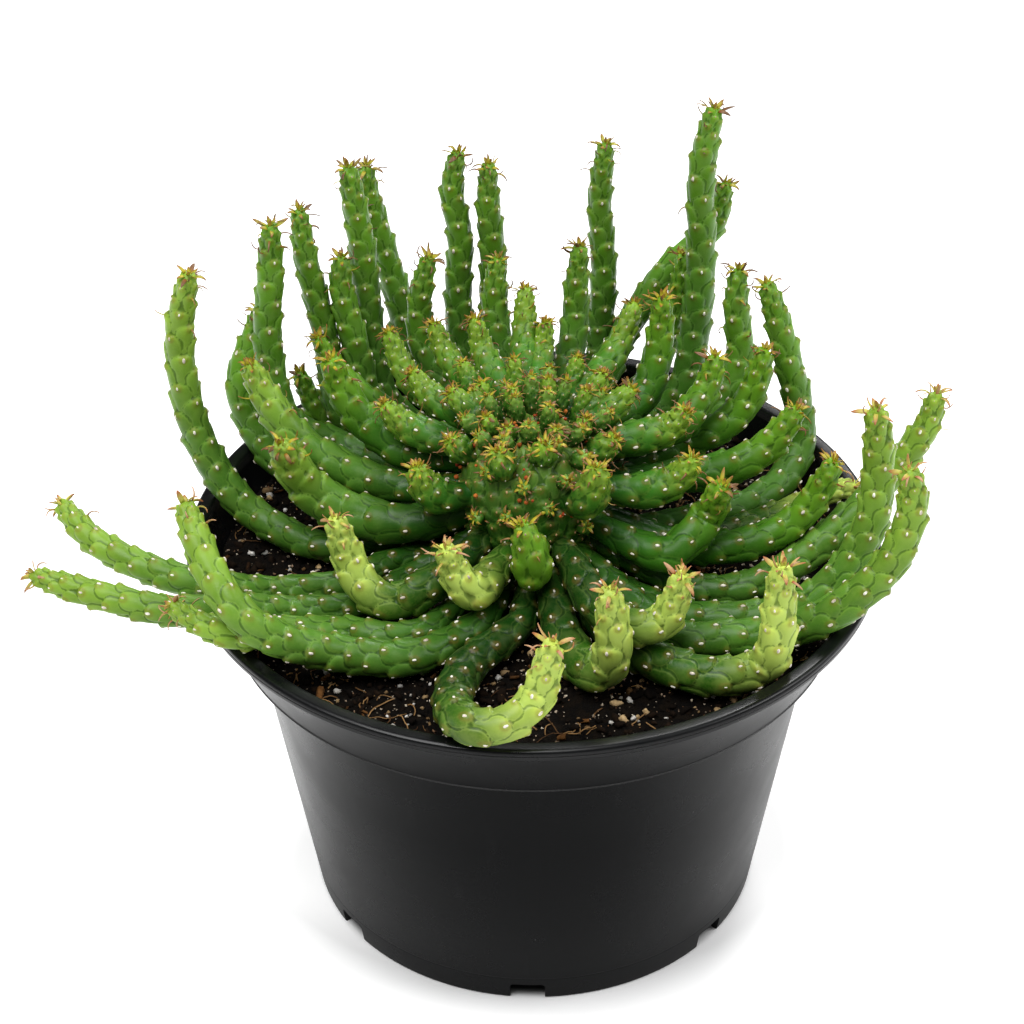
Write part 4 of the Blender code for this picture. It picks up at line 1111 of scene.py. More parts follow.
def arm_rows(course, width, habit):
    """An arm's smooth form from inside the crown to its tip, as (line, radii, shares)."""
    fine = spline(course, 8)
    run = run_along(fine)
    length = run[-1] - habit.tip_cut
    out = np.linalg.norm(fine[:, :2], axis=1)
    clear = [distance > crown_radius(point[2]) + GAP for distance, point in zip(out, fine)]
    leaves = run[clear.index(True)] if True in clear else run[0]
    start = max(0.0, leaves - ROOT_SUNK)
    radius_end = width / 2 * girth(1.0)
    straight = np.arange(start, length - radius_end, habit.row)
    angles = np.linspace(0, math.pi / 2, max(5, round(radius_end * 1.57 / (habit.row * 0.9))))
    places = np.r_[straight, length - radius_end + radius_end * np.sin(angles)]
    shares = np.clip((places - leaves) / (length - leaves), 0, 1)
    radii = width / 2 * girth(shares) * (1 - TIP_TAPER * smooth(1 - (length - places) / TAPER_LENGTH))
    radii -= 0.5 * habit.relief
    radii[len(straight):] *= np.cos(angles)
    radii[-1] = 0.0
    return points_at(fine, places), np.maximum(radii, 0.0), shares


def facing(forward, outward):
    """The matrix whose columns are side, forward and the side turned away from outward."""
    forward = forward / np.linalg.norm(forward)
    side = np.cross(outward, forward)
    side /= np.linalg.norm(side) + 1e-9
    return np.stack([side, forward, np.cross(side, forward)], axis=1)


def rolled(matrix, roll):
    """The leaf's frame rolled about its own length."""
    side = matrix[:, 0] * math.cos(roll) + matrix[:, 2] * math.sin(roll)
    return np.stack([side, matrix[:, 1], np.cross(side, matrix[:, 1])], axis=1)


def rosette(apex, count, length, girth_here, rng):
    """The star of blunt leaves on an arm's tip, the youngest upright in the middle."""
    point, axis, side, up = apex
    broad = leaf_kinds()["broad"]
    copies = []
    for number in range(count):
        share = number / max(1, count - 1)
        turn = number * GOLDEN_ANGLE + rng.normal(0, 0.15)
        radial = side * math.cos(turn) + up * math.sin(turn)
        lean = math.radians(6 + 70 * share**0.9 + rng.normal(0, 13))
        forward = axis * math.cos(lean) + radial * math.sin(lean)
        matrix = rolled(facing(forward, radial), rng.normal(0, 0.4))
        grown = length / LEAF_LENGTH * (0.48 + 0.42 * share) * rng.uniform(0.62, 1.2)
        wide = grown**0.55 * rng.uniform(0.8, 1.25) * (1.45 - 0.35 * share)
        polar = math.radians(6 + 48 * share)
        spot = point - axis * (girth_here * (1 - math.cos(polar)) + 0.15)
        spot = spot + radial * (girth_here * math.sin(polar) - 0.15)
        kind = broad[rng.integers(0, 2)] if share < 0.5 else broad[rng.integers(1, len(broad))]
        tint = np.clip(0.5 * share + rng.normal(0, 0.25), 0, 1)
        copies.append((kind, matrix * (wide, grown, grown), spot, tint))
    return copies


def hooks(spots, sure, lasting, length, rng):
    """The thin hooked leaves that still hold on the young scales, and those scales' numbers."""
    thin = leaf_kinds()["thin"]
    copies = []
    carrying = set()
    for number, (spot, _, axis, radial, _) in enumerate(spots):
        if rng.random() > sure * min(1.0, math.exp((6 - number) / lasting)):
            continue
        carrying.add(number)
        lean = math.radians(min(88, 48 + 3.5 * number) + rng.normal(0, 12))
        forward = axis * math.cos(lean) + radial * math.sin(lean)
        matrix = rolled(facing(forward, radial), rng.normal(0, 0.3))
        grown = length / LEAF_LENGTH * rng.uniform(0.5, 0.95)
        wide = grown * rng.uniform(0.8, 1.25)
        kind = thin[rng.integers(0, len(thin))]
        tint = np.clip(0.75 + rng.normal(0, 0.2), 0, 1)
        copies.append((kind, matrix * (wide, grown, grown), spot - forward * 0.3, tint))
    return copies, carrying


def scar_copies(spots, carrying, scar, rng):
    """A scar on each scale that no longer carries a leaf."""
    copies = []
    for number, (spot, normal, axis, _, size) in enumerate(spots):
        if number in carrying:
            continue
        matrix = facing(axis, normal)
        matrix = np.stack([-matrix[:, 0], matrix[:, 1], -matrix[:, 2]], axis=1)
        grown = SCAR_SIZE * rng.uniform(0.7, 1.2) * min(1.0, size / 6.0)
        pale = np.clip(number / SCAR_FADE, 0.05, 1) * rng.uniform(0.7, 1)
        copies.append((scar, matrix * grown, spot - normal * 0.12, pale))
    return copies


def rounded(corners):
    """A profile of (radius, height, rounding) corners, each rounded by a short arc."""
    points = [np.array(corners[0][:2])]
    for before, corner, after in zip(corners, corners[1:], corners[2:]):
        here = np.array(corner[:2])
        back = np.array(before[:2]) - here
        on = np.array(after[:2]) - here
        reach = min(corner[2], 0.45 * np.linalg.norm(back), 0.45 * np.linalg.norm(on))
        back = here + back / np.linalg.norm(back) * reach
        on = here + on / np.linalg.norm(on) * reach
        steps = 1 if corner[2] == 0 else max(3, round(corner[2] / 0.25))
        for share in np.linspace(0, 1, steps + 1):
            points.append((1 - share)**2 * back + 2 * share * (1 - share) * here + share**2 * on)
    points.append(np.array(corners[-1][:2]))
    return np.array(points)


def thrown(name, profile, sides):
    """A round body extruded ring by ring along a profile of (radius, height) points."""
    radius, height = profile[0]
    clear_selection()
    bpy.ops.mesh.primitive_circle_add(vertices=sides, radius=radius * MM, fill_type="NGON",
                                      location=(0, 0, height * MM))
    body = added(name)
    bpy.ops.object.transform_apply(location=True, rotation=True, scale=True)
    bpy.ops.object.mode_set(mode="EDIT")
    bpy.ops.mesh.select_mode(type="FACE")
    bpy.ops.mesh.select_all(action="SELECT")
    for next_radius, next_height in profile[1:]:
        rise = (next_height - height) * MM
        bpy.ops.mesh.extrude_region_move(TRANSFORM_OT_translate={"value": (0, 0, rise)})
        grow = next_radius / radius
        bpy.ops.transform.resize(value=(grow, grow, 1), center_override=(0, 0, next_height * MM))
        radius, height = next_radius, next_height
    bpy.ops.mesh.select_all(action="DESELECT")
    bpy.ops.mesh.select_face_by_sides(number=4, type="GREATER", extend=False)
    bpy.ops.mesh.poke()
    bpy.ops.mesh.select_all(action="SELECT")
    bpy.ops.mesh.normals_make_consistent(inside=False)
    end_edit()
    return body


def pot_profile():
    """The pot's section, from the middle of its underside round the lip to its floor inside."""
    shoulder = POT_HEIGHT - COLLAR_DEPTH
    under_lip = POT_HEIGHT - LIP_DEPTH
    foot = BASE_RADIUS - FOOT_WIDTH
    collar_top = RIM_RADIUS - LIP_OVERHANG
    collar_slope = (collar_top - COLLAR_RADIUS) / (under_lip - shoulder)
    return rounded([
        (3.0, 0, 0),
        (BOSS_RADIUS, 0, 0.6),
        (BOSS_RADIUS, FOOT_HEIGHT, 0.5),
        (foot, FOOT_HEIGHT, 0.8),
        (foot, 0, 0.7),
        (BASE_RADIUS, 0, 0.9),
        (wall_radius(FOOT_LINE - 0.3), FOOT_LINE - 0.3, 0.2),
        (wall_radius(FOOT_LINE) - 0.07, FOOT_LINE, 0.1),
        (wall_radius(FOOT_LINE + 0.3), FOOT_LINE + 0.3, 0.2),
        (wall_radius(34), 34, 0),
        (wall_radius(67), 67, 0),
        (SHOULDER_RADIUS, shoulder - STEP_RISE, 0.5),
        (COLLAR_RADIUS + 0.22, shoulder, 0.1),
        (COLLAR_RADIUS + 0.3, shoulder + 0.2, 0.1),
        (COLLAR_RADIUS + 0.05, shoulder + 0.45, 0.05),
        (COLLAR_RADIUS + 9 * collar_slope - 0.5, shoulder + 9, 4.0),
        (collar_top, under_lip - 0.2, 0.5),
        (RIM_RADIUS - 0.5, under_lip - 0.4, 0.5),
        (RIM_RADIUS - 0.1, under_lip + 1.3, 0.3),
        (RIM_RADIUS - 0.35, under_lip + 1.55, 0.15),
        (RIM_RADIUS - 0.05, under_lip + 1.85, 0.3),
        (RIM_RADIUS - 0.02, POT_HEIGHT - 1.05, 0.3),
        (RIM_RADIUS - 0.3, POT_HEIGHT - 0.4, 0.35),
        (RIM_RADIUS - 1.15, POT_HEIGHT, 0.4),
        (RIM_RADIUS - LIP_WIDTH - 0.2, POT_HEIGHT - 0.35, 0.9),
        (RIM_RADIUS - LIP_WIDTH - 0.5, under_lip, 0.8),
        (collar_inside(shoulder + 12), shoulder + 12, 0),
        (collar_inside(shoulder + WALL), shoulder + WALL, 0.8),
        (wall_radius(shoulder) - WALL, shoulder + WALL - STEP_RISE, 0.6),
        (wall_radius(60) - WALL, 60, 0),
        (wall_radius(FLOOR) - WALL, FLOOR, 2.0),
        (3.0, FLOOR, 0),
    ])


def cut_notches(pot):
    """Cuts the drain notches through the foot of the wall."""
    for number in range(NOTCHES):
        bearing = math.radians(FIRST_NOTCH_BEARING + number * 360 / NOTCHES)
        clear_selection()
        bpy.ops.mesh.primitive_cube_add(size=MM)
        cutter = added(f"notch_{number}")
        start_edit()
        bpy.ops.transform.resize(value=(2 * NOTCH_DEPTH, NOTCH_WIDTH, 2 * NOTCH_HEIGHT))
        bpy.ops.mesh.bevel(offset=NOTCH_ROUNDING * MM, segments=3, affect="EDGES")
        end_edit()
        cutter.data.transform(
            Matrix.Translation(Vector((math.cos(bearing), math.sin(bearing), 0)) * BASE_RADIUS * MM)
            @ Matrix.Rotation(bearing, 4, "Z"))
        cut = pot.modifiers.new(cutter.name, "BOOLEAN")
        cut.operation = "DIFFERENCE"
        cut.object = cutter
        cut.solver = "EXACT"
        pick(pot)
        bpy.ops.object.modifier_apply(modifier=cut.name)
        bpy.data.objects.remove(cutter)


def soil_height(x, y):
    """The height of the potting mix at this place, in millimetres."""
    spot = Vector((x, y, 0.0))
    height = SOIL_TOP
    for wavelength, shift, rise in SOIL_WAVES:
        height += rise * noise.noise(spot / wavelength + Vector(shift))
    return height - EDGE_DIP * smooth((math.hypot(x, y) - DIP_START) / DIP_WIDTH)


def free_places(count, least, most, rng):
    """Places on the mix that no arm lies in, as (x, y, size)."""
    arms, young = arm_courses()
    lines = [spline(course, 3) for course in arms + young]
    axis = np.concatenate(lines)
    reach = np.concatenate([np.full(len(line), width / 2) for line, width in zip(lines, arm_widths())])
    places = []
    while len(places) < count:
        out = math.sqrt(rng.uniform(GRIT_NEAREST**2, GRIT_FARTHEST**2))
        turn = rng.uniform(0, math.tau)
        size = least + (most - least) * rng.uniform(0, 1)**2.2
        spot = np.array([out * math.cos(turn), out * math.sin(turn), SOIL_TOP + 0.3 * size])
        if (np.linalg.norm(axis - spot, axis=1) > reach + size / 2).all():
            places.append((spot[0], spot[1], size))
    return places


def scattered(name, patterns, count, sizes, squash, material, rng):
    """Grains of these patterns half sunk in the mix, each turned its own way."""
    copies = []
    for x, y, size in free_places(count, *sizes, rng):
        turned = np.array(Matrix.Rotation(rng.uniform(0, math.tau), 3, "Z")
                          @ Matrix.Rotation(rng.normal(0, 0.4), 3, "X")
                          @ Matrix.Rotation(rng.normal(0, 0.4), 3, "Y"))
        shape = np.array([rng.uniform(0.85, 1.2), rng.uniform(0.6, 1.0), squash * rng.uniform(0.8, 1.1)])
        spot = np.array([x, y, soil_height(x, y) + GRAIN_LIFT * size * squash])
        pattern = patterns[rng.integers(0, len(patterns))]
        copies.append((pattern, turned * (shape * size), spot, rng.uniform(0, 1)))
    return stamp(name, copies, material)


def model_chip(name, seed):
    """A flat chip of bark, about one long."""
    clear_selection()
    bpy.ops.mesh.primitive_cube_add(size=MM)
    chip = added(name)
    start_edit()
    bpy.ops.transform.resize(value=(1.0, 0.45, 0.22), center_override=(0, 0, 0))
    bpy.ops.mesh.bevel(offset=0.09 * MM, segments=1, affect="EDGES")
    bpy.ops.transform.vertex_random(offset=0.13 * MM, uniform=0.5, normal=0.3, seed=seed)
    end_edit()
    return pattern_of(chip)


def add_fibres(count, material, rng):
    """Thin root fibres and threads of coir lying over the mix."""
    strands = []
    for number, (x, y, size) in enumerate(free_places(count, 5.0, 15.0, rng)):
        turn = rng.uniform(0, math.tau)
        bend = rng.normal(0, 0.5)
        points = []
        for share in np.linspace(0, 1, FIBRE_KNOTS):
            angle = turn + bend * share * 2
            x += math.cos(angle) * size / FIBRE_KNOTS
            y += math.sin(angle) * size / FIBRE_KNOTS
            if math.hypot(x, y) > FIBRES_WITHIN:
                break
            points.append((x, y, soil_height(x, y) + 0.3 + 0.5 * math.sin(share * math.pi)))
        if len(points) < 3:
            continue
        curve = bpy.data.curves.new(f"fibre_{number}", "CURVE")
        curve.dimensions = "3D"
        curve.resolution_u = 2
        curve.bevel_depth = rng.uniform(0.09, 0.22) * MM
        curve.bevel_resolution = 1
        curve.use_fill_caps = True
        course = curve.splines.new("POLY")
        course.points.add(len(points) - 1)
        for point, knot in zip(course.points, points):
            point.co = (*(np.array(knot) * MM), 1.0)
        strand = bpy.data.objects.new(f"fibre_{number}", curve)
        bpy.context.scene.collection.objects.link(strand)
        pick(strand)
        bpy.ops.object.convert(target="MESH")
        strand = bpy.context.object
        store(strand, "tint", np.full(len(strand.data.vertices), rng.uniform(0, 1)))
        strands.append(strand)
    fibres = joined("fibres", strands)
    fibres.data.materials.clear()
    fibres.data.materials.append(material)
    pick(fibres)
    bpy.ops.object.shade_smooth()
    return fibres


@cache
def leaf_kinds():
    """The broad and the thin leaves in their several bends, modelled once."""
    return {
        "broad": [model_leaf(f"broad_{bend}", bend, BROAD_LEAF) for bend in BROAD_BENDS],
        "thin": [model_leaf(f"thin_{bend}", bend, THIN_LEAF) for bend in THIN_BENDS],
    }


@cache
def leaf_scar():
    """The scar, modelled once."""
    return model_scar()


def dressed_arm(name, rows, width, finishes, settings, habit, leaf_length, rng):
    """One arm in its scales, scars and leaves, as one piece, in finishes for skin, leaf and scar."""
    line, radii, shares = rows
    run = run_along(line)
    reach = run[-1]
    length = leaf_length * habit.leaf
    cell = habit.fineness * settings.scale_area * width**2
    scales = scale_places(reach - 1.0, lambda down: np.interp(reach - down, run, radii),
                          cell, settings.relief, rng)
    tube, spots, apex = skin(name, line, radii, shares, scales, habit.columns, finishes[0])
    hooked, carrying = hooks(spots, habit.sure, habit.lasting, length, rng)
    leaves = rosette(apex, habit.leaves, length, width * 0.28, rng) + hooked
    parts = [tube, stamp("leaves", leaves, finishes[1])]
    scars = scar_copies(spots, carrying, leaf_scar(), rng)
    if scars:
        parts.append(stamp("scars", scars, finishes[2]))
    return joined(name, parts)


def colour_setting(name, description, default):
    """A colour that the user may change."""
    return FloatVectorProperty(name=name, description=description, subtype="COLOR", size=3,
                               default=default, min=0.0, max=1.0)


class EuphorbiaPlantSettings(PropertyGroup):
    """Sizes and colours of the plant."""

    scale_area: FloatProperty(
        name="Scale Area", description="Area of a grown scale, as a share of the arm's width squared",
        default=0.54, min=0.2, max=2.0)
    relief: FloatProperty(
        name="Scale Relief", description="How far a scale stands out, as a share of its size",
        default=0.15, min=0.0, max=0.4)
    leaf_length: FloatProperty(
        name="Leaf Length", description="Length of the leaves at the tips of the arms",
        default=0.0047, min=0.001, max=0.012, unit="LENGTH", subtype="DISTANCE")
    # The root greens, and the crown's foot, are partly the arms' own darker base and partly painted shade
    # for the crowded arms deep round the crown.
    front_root: colour_setting("Front Root", "Green of the front arms near the crown",
                               (0.006, 0.044, 0.004))
    front_middle: colour_setting("Front Middle", "Green of the front arms halfway", (0.027, 0.105, 0.006))
    front_tip: colour_setting("Front Tip", "Green of the front arms at the tip", (0.48, 0.64, 0.12))
    outer_root: colour_setting("Outer Root", "Green of the outer arms near the crown",
                               (0.013, 0.068, 0.005))
    outer_middle: colour_setting("Outer Middle", "Green of the outer arms halfway", (0.082, 0.215, 0.024))
    outer_tip: colour_setting("Outer Tip", "Green of the outer arms at the tip", (0.23, 0.40, 0.042))
    middle_root: colour_setting("Side Root", "Green of the side arms near the crown", (0.009, 0.062, 0.005))
    middle_middle: colour_setting("Side Middle", "Green of the side arms halfway", (0.034, 0.138, 0.008))
    middle_tip: colour_setting("Side Tip", "Green of the side arms at the tip", (0.14, 0.33, 0.016))
    back_root: colour_setting("Back Root", "Green of the back arms near the crown", (0.033, 0.13, 0.017))
    back_middle: colour_setting("Back Middle", "Green of the back arms halfway", (0.066, 0.19, 0.020))
    back_tip: colour_setting("Back Tip", "Green of the back arms at the tip", (0.12, 0.30, 0.016))
    young_root: colour_setting("Young Root", "Green of the young arms near the crown",
                               (0.010, 0.066, 0.006))
    young_middle: colour_setting("Young Middle", "Green of the young arms halfway", (0.042, 0.175, 0.013))
    young_tip: colour_setting("Young Tip", "Green of the young arms at the tip", (0.19, 0.36, 0.027))
    crown_root: colour_setting("Crown Foot", "Green of the crown near the mix", (0.009, 0.046, 0.004))
    crown_middle: colour_setting("Crown Flank", "Green of the crown's flank", (0.024, 0.115, 0.008))
    crown_tip: colour_setting("Crown Top", "Green of the crown's top", (0.15, 0.29, 0.037))
    # The crease colour is also mixed in as painted shade in the hollows and along the seams between the
    # scales.
    crease: colour_setting("Crease", "Colour between the scales", (0.008, 0.030, 0.002))


class EuphorbiaPotSettings(PropertyGroup):
    """Colours of the pot."""

    plastic: colour_setting("Plastic", "Colour of the pot", (0.0035, 0.0038, 0.0042))
    # The dust colour is also the colour of the painted highlight lines on the collar and the lip.
    dust_and_highlight: colour_setting("Dust", "Colour of the dust and scuffs on the pot", (0.10, 0.10, 0.10))


class EuphorbiaMixSettings(PropertyGroup):
    """The potting mix and what lies on it."""

    perlite: IntProperty(name="Perlite", description="Number of white grains", default=360, min=0, max=2000)
    pebbles: IntProperty(name="Pebbles", description="Number of small stones", default=420, min=0, max=1000)
    chips: IntProperty(name="Chips", description="Number of bark chips", default=140, min=0, max=1000)
    specks: IntProperty(name="Specks", description="Number of tiny light grains", default=2400, min=0,
                        max=5000)
    crumbs: IntProperty(name="Crumbs", description="Number of dark crumbs", default=2200, min=0, max=5000)
    fibres: IntProperty(name="Fibres", description="Number of root fibres", default=190, min=3, max=400)
    peat: colour_setting("Peat", "Darkest colour of the mix", (0.0014, 0.0010, 0.0008))
    humus: colour_setting("Humus", "Brown of the mix", (0.0068, 0.0040, 0.0018))


class EuphorbiaStageSettings(PropertyGroup):
    """The floor, lights and camera."""

    floor: colour_setting("Floor", "Colour of the floor", (0.93, 0.93, 0.93))
    glow: FloatProperty(name="Floor Glow", description="Light that the floor gives off itself",
                        default=0.58, min=0.0, max=5.0)
    sky: FloatProperty(name="Sky", description="Strength of the even light", default=0.24, min=0.0, max=5.0)
    lamp: FloatProperty(name="Lamp", description="Power of the large lamp above", default=21.0, min=0.0,
                        max=1000.0, unit="POWER")
    back_lamp: FloatProperty(name="Back Lamp", description="Power of the small lamp behind", default=8.0,
                             min=0.0, max=1000.0, unit="POWER")
    side_lamp: FloatProperty(name="Side Lamp", description="Power of the lamp on the right", default=6.0,
                             min=0.0, max=1000.0, unit="POWER")
    lens: FloatProperty(name="Lens", description="Focal length of the camera", default=84.375, min=10.0,
                        max=300.0)


@cache
def finishes():
    """Every finish of the plant, by name."""
    mottling_group()
    fine_grain_group()
    plant = bpy.context.scene.euphorbia_plant
    made = {}
    steady = (0.0, 0.5, 0.95)
    for tone, bloom, turns in (
            ("front", (0.48, 0.60, 0.13), (0.4, 0.64, 0.86)),
            ("outer", (0.28, 0.42, 0.07), (0.12, 0.6, 0.95)),
            ("middle", (0.16, 0.28, 0.04), steady),
            ("back", (0.20, 0.30, 0.09), steady),
            ("young", (0.24, 0.32, 0.05), steady),
            ("crown", (0.24, 0.34, 0.08), steady)):
        made[tone] = skin_finish(
            f"arm_skin_{tone}", getattr(plant, f"{tone}_root"), getattr(plant, f"{tone}_middle"),
            getattr(plant, f"{tone}_tip"), plant.crease, bloom, turns)
    for key, name, base, tip, dry in (
            ("leaf_front", "leaf_blush", (0.52, 0.50, 0.07), (0.40, 0.12, 0.04), (0.46, 0.26, 0.13)),
            ("leaf_middle", "leaf_green", (0.50, 0.45, 0.02), (0.30, 0.115, 0.015), (0.17, 0.08, 0.028)),
            ("leaf_back", "leaf_olive", (0.42, 0.40, 0.02), (0.24, 0.09, 0.015), (0.14, 0.07, 0.028))):
        made[key] = leaf_finish(name, base, tip, dry)
    for key, name, dark, light, roughness in (
            ("scar", "leaf_scar", (0.34, 0.15, 0.06), (0.98, 0.95, 0.86), 0.6),
            ("tip_scar", "tip_scar", (0.46, 0.10, 0.03), (0.78, 0.50, 0.26), 0.6),
            ("bud", "bud_skin", (0.36, 0.03, 0.015), (0.62, 0.20, 0.04), 0.4)):
        made[key] = tinted_finish(name, dark, light, 700.0, roughness, 0.3)
    return made


class EUPHORBIA_OT_pot(Operator):
    """Models the black pot with its rolled lip, collar and drain notches"""

    bl_idname = "euphorbia.pot"
    bl_label = "Pot"
    bl_options = {"REGISTER", "UNDO"}

    def execute(self, context):
        settings = context.scene.euphorbia_pot
        finishes()
        pot = thrown("grow_pot", pot_profile(), POT_SIDES)
        cut_notches(pot)
        if pot.dimensions.z < (POT_BOX[1][2] - POT_BOX[0][2]) * 0.98:
            raise RuntimeError("the pot came out lower than its solid")
        pot.data.materials.append(plastic_finish("pot_plastic_skin", settings.plastic, settings.dust_and_highlight))
        pick(pot)
        bpy.ops.object.shade_smooth_by_angle(angle=math.radians(HARD_EDGE_ANGLE))
        settle(pot, "pot_plastic", "pot")
        return {"FINISHED"}


class EUPHORBIA_OT_mix(Operator):
    """Models the lumpy potting mix"""

    bl_idname = "euphorbia.mix"
    bl_label = "Potting Mix"
    bl_options = {"REGISTER", "UNDO"}

    def execute(self, context):
        settings = context.scene.euphorbia_mix
        finishes()
        clear_selection()
        bpy.ops.mesh.primitive_grid_add(x_subdivisions=SOIL_GRID, y_subdivisions=SOIL_GRID, size=2 * MM)
        mix = added("potting_mix")
        edge = collar_inside(SOIL_TOP) - 2 * GAP
        flat = points_of(mix) / MM
        points = np.zeros_like(flat)
        points[:, 0] = flat[:, 0] * np.sqrt(1 - flat[:, 1]**2 / 2) * edge
        points[:, 1] = flat[:, 1] * np.sqrt(1 - flat[:, 0]**2 / 2) * edge
        points[:, 2] = [soil_height(x, y) for x, y in points[:, :2]]
        mix.data.vertices.foreach_set("co", (points * MM).ravel())
        rim = np.hypot(points[:, 0], points[:, 1]) > edge - 0.01
        select_points(mix, rim)
        bpy.ops.mesh.select_mode(type="EDGE")
        low = edge
        shoulder = POT_HEIGHT - COLLAR_DEPTH
        for radius, height in (
                (collar_inside(SOIL_TOP - 4) - 2 * GAP, SOIL_TOP - 4),
                (collar_inside(shoulder + WALL + 2 * GAP) - 2 * GAP, shoulder + WALL + 2 * GAP),
                (wall_radius(shoulder) - WALL - 2 * GAP, shoulder + WALL + 2 * GAP - STEP_RISE),
                (wall_radius(FLOOR) - WALL - 2 * GAP, FLOOR + GAP)):
            bpy.ops.mesh.extrude_region_move(TRANSFORM_OT_translate={"value": (0, 0, -2 * MM)})
            grow = radius / low
            bpy.ops.transform.resize(value=(grow, grow, 0), center_override=(0, 0, height * MM))
            low = radius
        bpy.ops.mesh.edge_face_add()
        bpy.ops.mesh.select_all(action="SELECT")
        bpy.ops.mesh.normals_make_consistent(inside=False)
        end_edit()
        crumbs = mix_finish("mix_crumbs", settings.peat, settings.humus, (0.30, 0.24, 0.17))
        mix.data.materials.append(crumbs)
        pick(mix)
        bpy.ops.object.shade_smooth_by_angle(angle=math.radians(MIX_EDGE_ANGLE))
        settle(mix, "potting_mix", "soil")
        return {"FINISHED"}


class EUPHORBIA_OT_grit(Operator):
    """Scatters perlite, pebbles, bark chips, crumbs and fibres over the mix"""

    bl_idname = "euphorbia.grit"
    bl_label = "Grit and Fibres"
    bl_options = {"REGISTER", "UNDO"}

    def execute(self, context):
        settings = context.scene.euphorbia_mix
        finishes()
        rng = np.random.default_rng(11)
        stones = [model_grain(f"stone_{seed}", 2, 0.16, seed) for seed in range(4)]
        crumbs = [model_grain(f"crumb_{seed}", 1, 0.3, seed + 9) for seed in range(4)]
        chips = [model_chip(f"chip_{seed}", seed) for seed in range(3)]
        for name, kinds, count, sizes, squash, finish in (
                ("perlite", stones, settings.perlite, (0.8, 2.6), 0.8,
                 ("perlite_white", (0.48, 0.46, 0.42), (0.90, 0.89, 0.86), 1100.0, 0.9, 0.8)),
                ("pebbles", stones, settings.pebbles, (0.8, 3.1), 0.75,
                 ("pebble_tan", (0.09, 0.045, 0.014), (0.56, 0.40, 0.21), 800.0, 0.7, 0.6)),
                ("bark_chips", chips, settings.chips, (1.5, 4.8), 1.0,
                 ("bark_brown", (0.014, 0.007, 0.003), (0.16, 0.07, 0.02), 500.0, 0.85, 0.9)),
                ("specks", crumbs, settings.specks, (0.35, 1.15), 0.9,
                 ("speck_light", (0.22, 0.10, 0.04), (0.80, 0.72, 0.58), 1500.0, 0.8, 0.5)),
                ("crumbs", crumbs, settings.crumbs, (0.8, 3.6), 0.8,
                 ("crumb_dark", (0.0015, 0.001, 0.0008), (0.015, 0.008, 0.004), 700.0, 0.95, 0.9))):
            grains = scattered(name, kinds, count, sizes, squash, tinted_finish(*finish), rng)
            settle(grains, "potting_mix")
        straw = tinted_finish("fibre_straw", (0.06, 0.028, 0.012), (0.38, 0.22, 0.09), 600.0, 0.8, 0.5)
        settle(add_fibres(settings.fibres, straw, rng), "potting_mix")
        return {"FINISHED"}


class EUPHORBIA_OT_crown(Operator):
    """Models the crown with its large scales, buds and youngest tips"""

    bl_idname = "euphorbia.crown"
    bl_label = "Crown"
    bl_options = {"REGISTER", "UNDO"}

    def execute(self, context):
        settings = context.scene.euphorbia_plant
        made = finishes()
        rng = np.random.default_rng(5)
        foot = SOIL_TOP - CROWN_SUNK
        heights = CROWN_TOP - (CROWN_TOP - SOIL_TOP + CROWN_SUNK) * np.linspace(1, 0, 400)**2
        heights = np.where(heights < foot, foot, heights)
        section = np.array([[crown_radius(max(height, SOIL_TOP)), height] for height in heights])
        run = run_along(section)
        even = np.linspace(0, run[-1], round(run[-1] / CROWN_ROW))
        radii = np.interp(even, run, section[:, 0])
        line = np.zeros((len(even), 3))
        line[:, 2] = np.interp(even, run, section[:, 1])
        line[:, 2] += np.linspace(0, 1e-4, len(even))
        radii = np.maximum(radii - CROWN_SKIN_DEPTH, 0)
        radii[-1] = 0
        shares = even / run[-1]
        scales = scale_places(run[-1] - 2, lambda down: np.interp(run[-1] - down, even, radii),
                              CROWN_SCALE_AREA, CROWN_RELIEF, rng)
        body, spots, _ = skin("crown_head", line, radii, shares, scales, CROWN_COLUMNS, made["crown"])
        buds = []
        bud = model_grain("bud", 2, 0.02, 3)
        for spot, normal, _, _, _ in spots:
            if spot[2] > BUDS_ABOVE and rng.random() < BUD_CHANCE:
                for _ in range(rng.integers(1, 4)):
                    beside = spot + normal * 0.5 + rng.normal(0, 1.1, 3)
                    buds.append((bud, np.eye(3) * rng.uniform(*BUD_SIZES), beside, rng.uniform(0, 1)))
        leaves, carrying = hooks(spots, *CROWN_TUFTS, CROWN_LEAF_LENGTH, rng)
        parts = [body, stamp("buds", buds, made["bud"]), stamp("crown_leaves", leaves, made["leaf_back"]),
                 stamp("crown_scars", scar_copies(spots, carrying, leaf_scar(), rng), made["tip_scar"])]
        for number, (bearing, radius, height) in enumerate(YOUNG_TIPS):
            low = min(height - 9, CROWN_TOP - 6)
            course = np.linspace(at(bearing, radius * 0.75, low), at(bearing, radius, height), 5)
            rows = arm_rows(course, YOUNG_WIDTH, TIP_HABIT)
            parts.append(dressed_arm(f"tip_{number}", rows, YOUNG_WIDTH,
                                     (made["young"], made["leaf_middle"], made["tip_scar"]),
                                     settings, TIP_HABIT, YOUNG_LEAF_LENGTH, rng))
        for number, (bearing, radius, height) in enumerate(CROWN_BUDS):
            low = at(bearing, 0.6 * radius, min(height - 7, CROWN_TOP - 5))
            course = np.linspace(low, at(bearing, radius, height), 4)
            width = rng.uniform(4.6, 6.4)
            rows = arm_rows(course, width, BUD_HABIT)
            parts.append(dressed_arm(f"crown_bud_{number}", rows, width,
                                     (made["crown"], made["leaf_middle"], made["tip_scar"]),
                                     settings, BUD_HABIT, YOUNG_LEAF_LENGTH, rng))
        settle(joined("crown_head", parts), "crown_green", "crown")
        return {"FINISHED"}


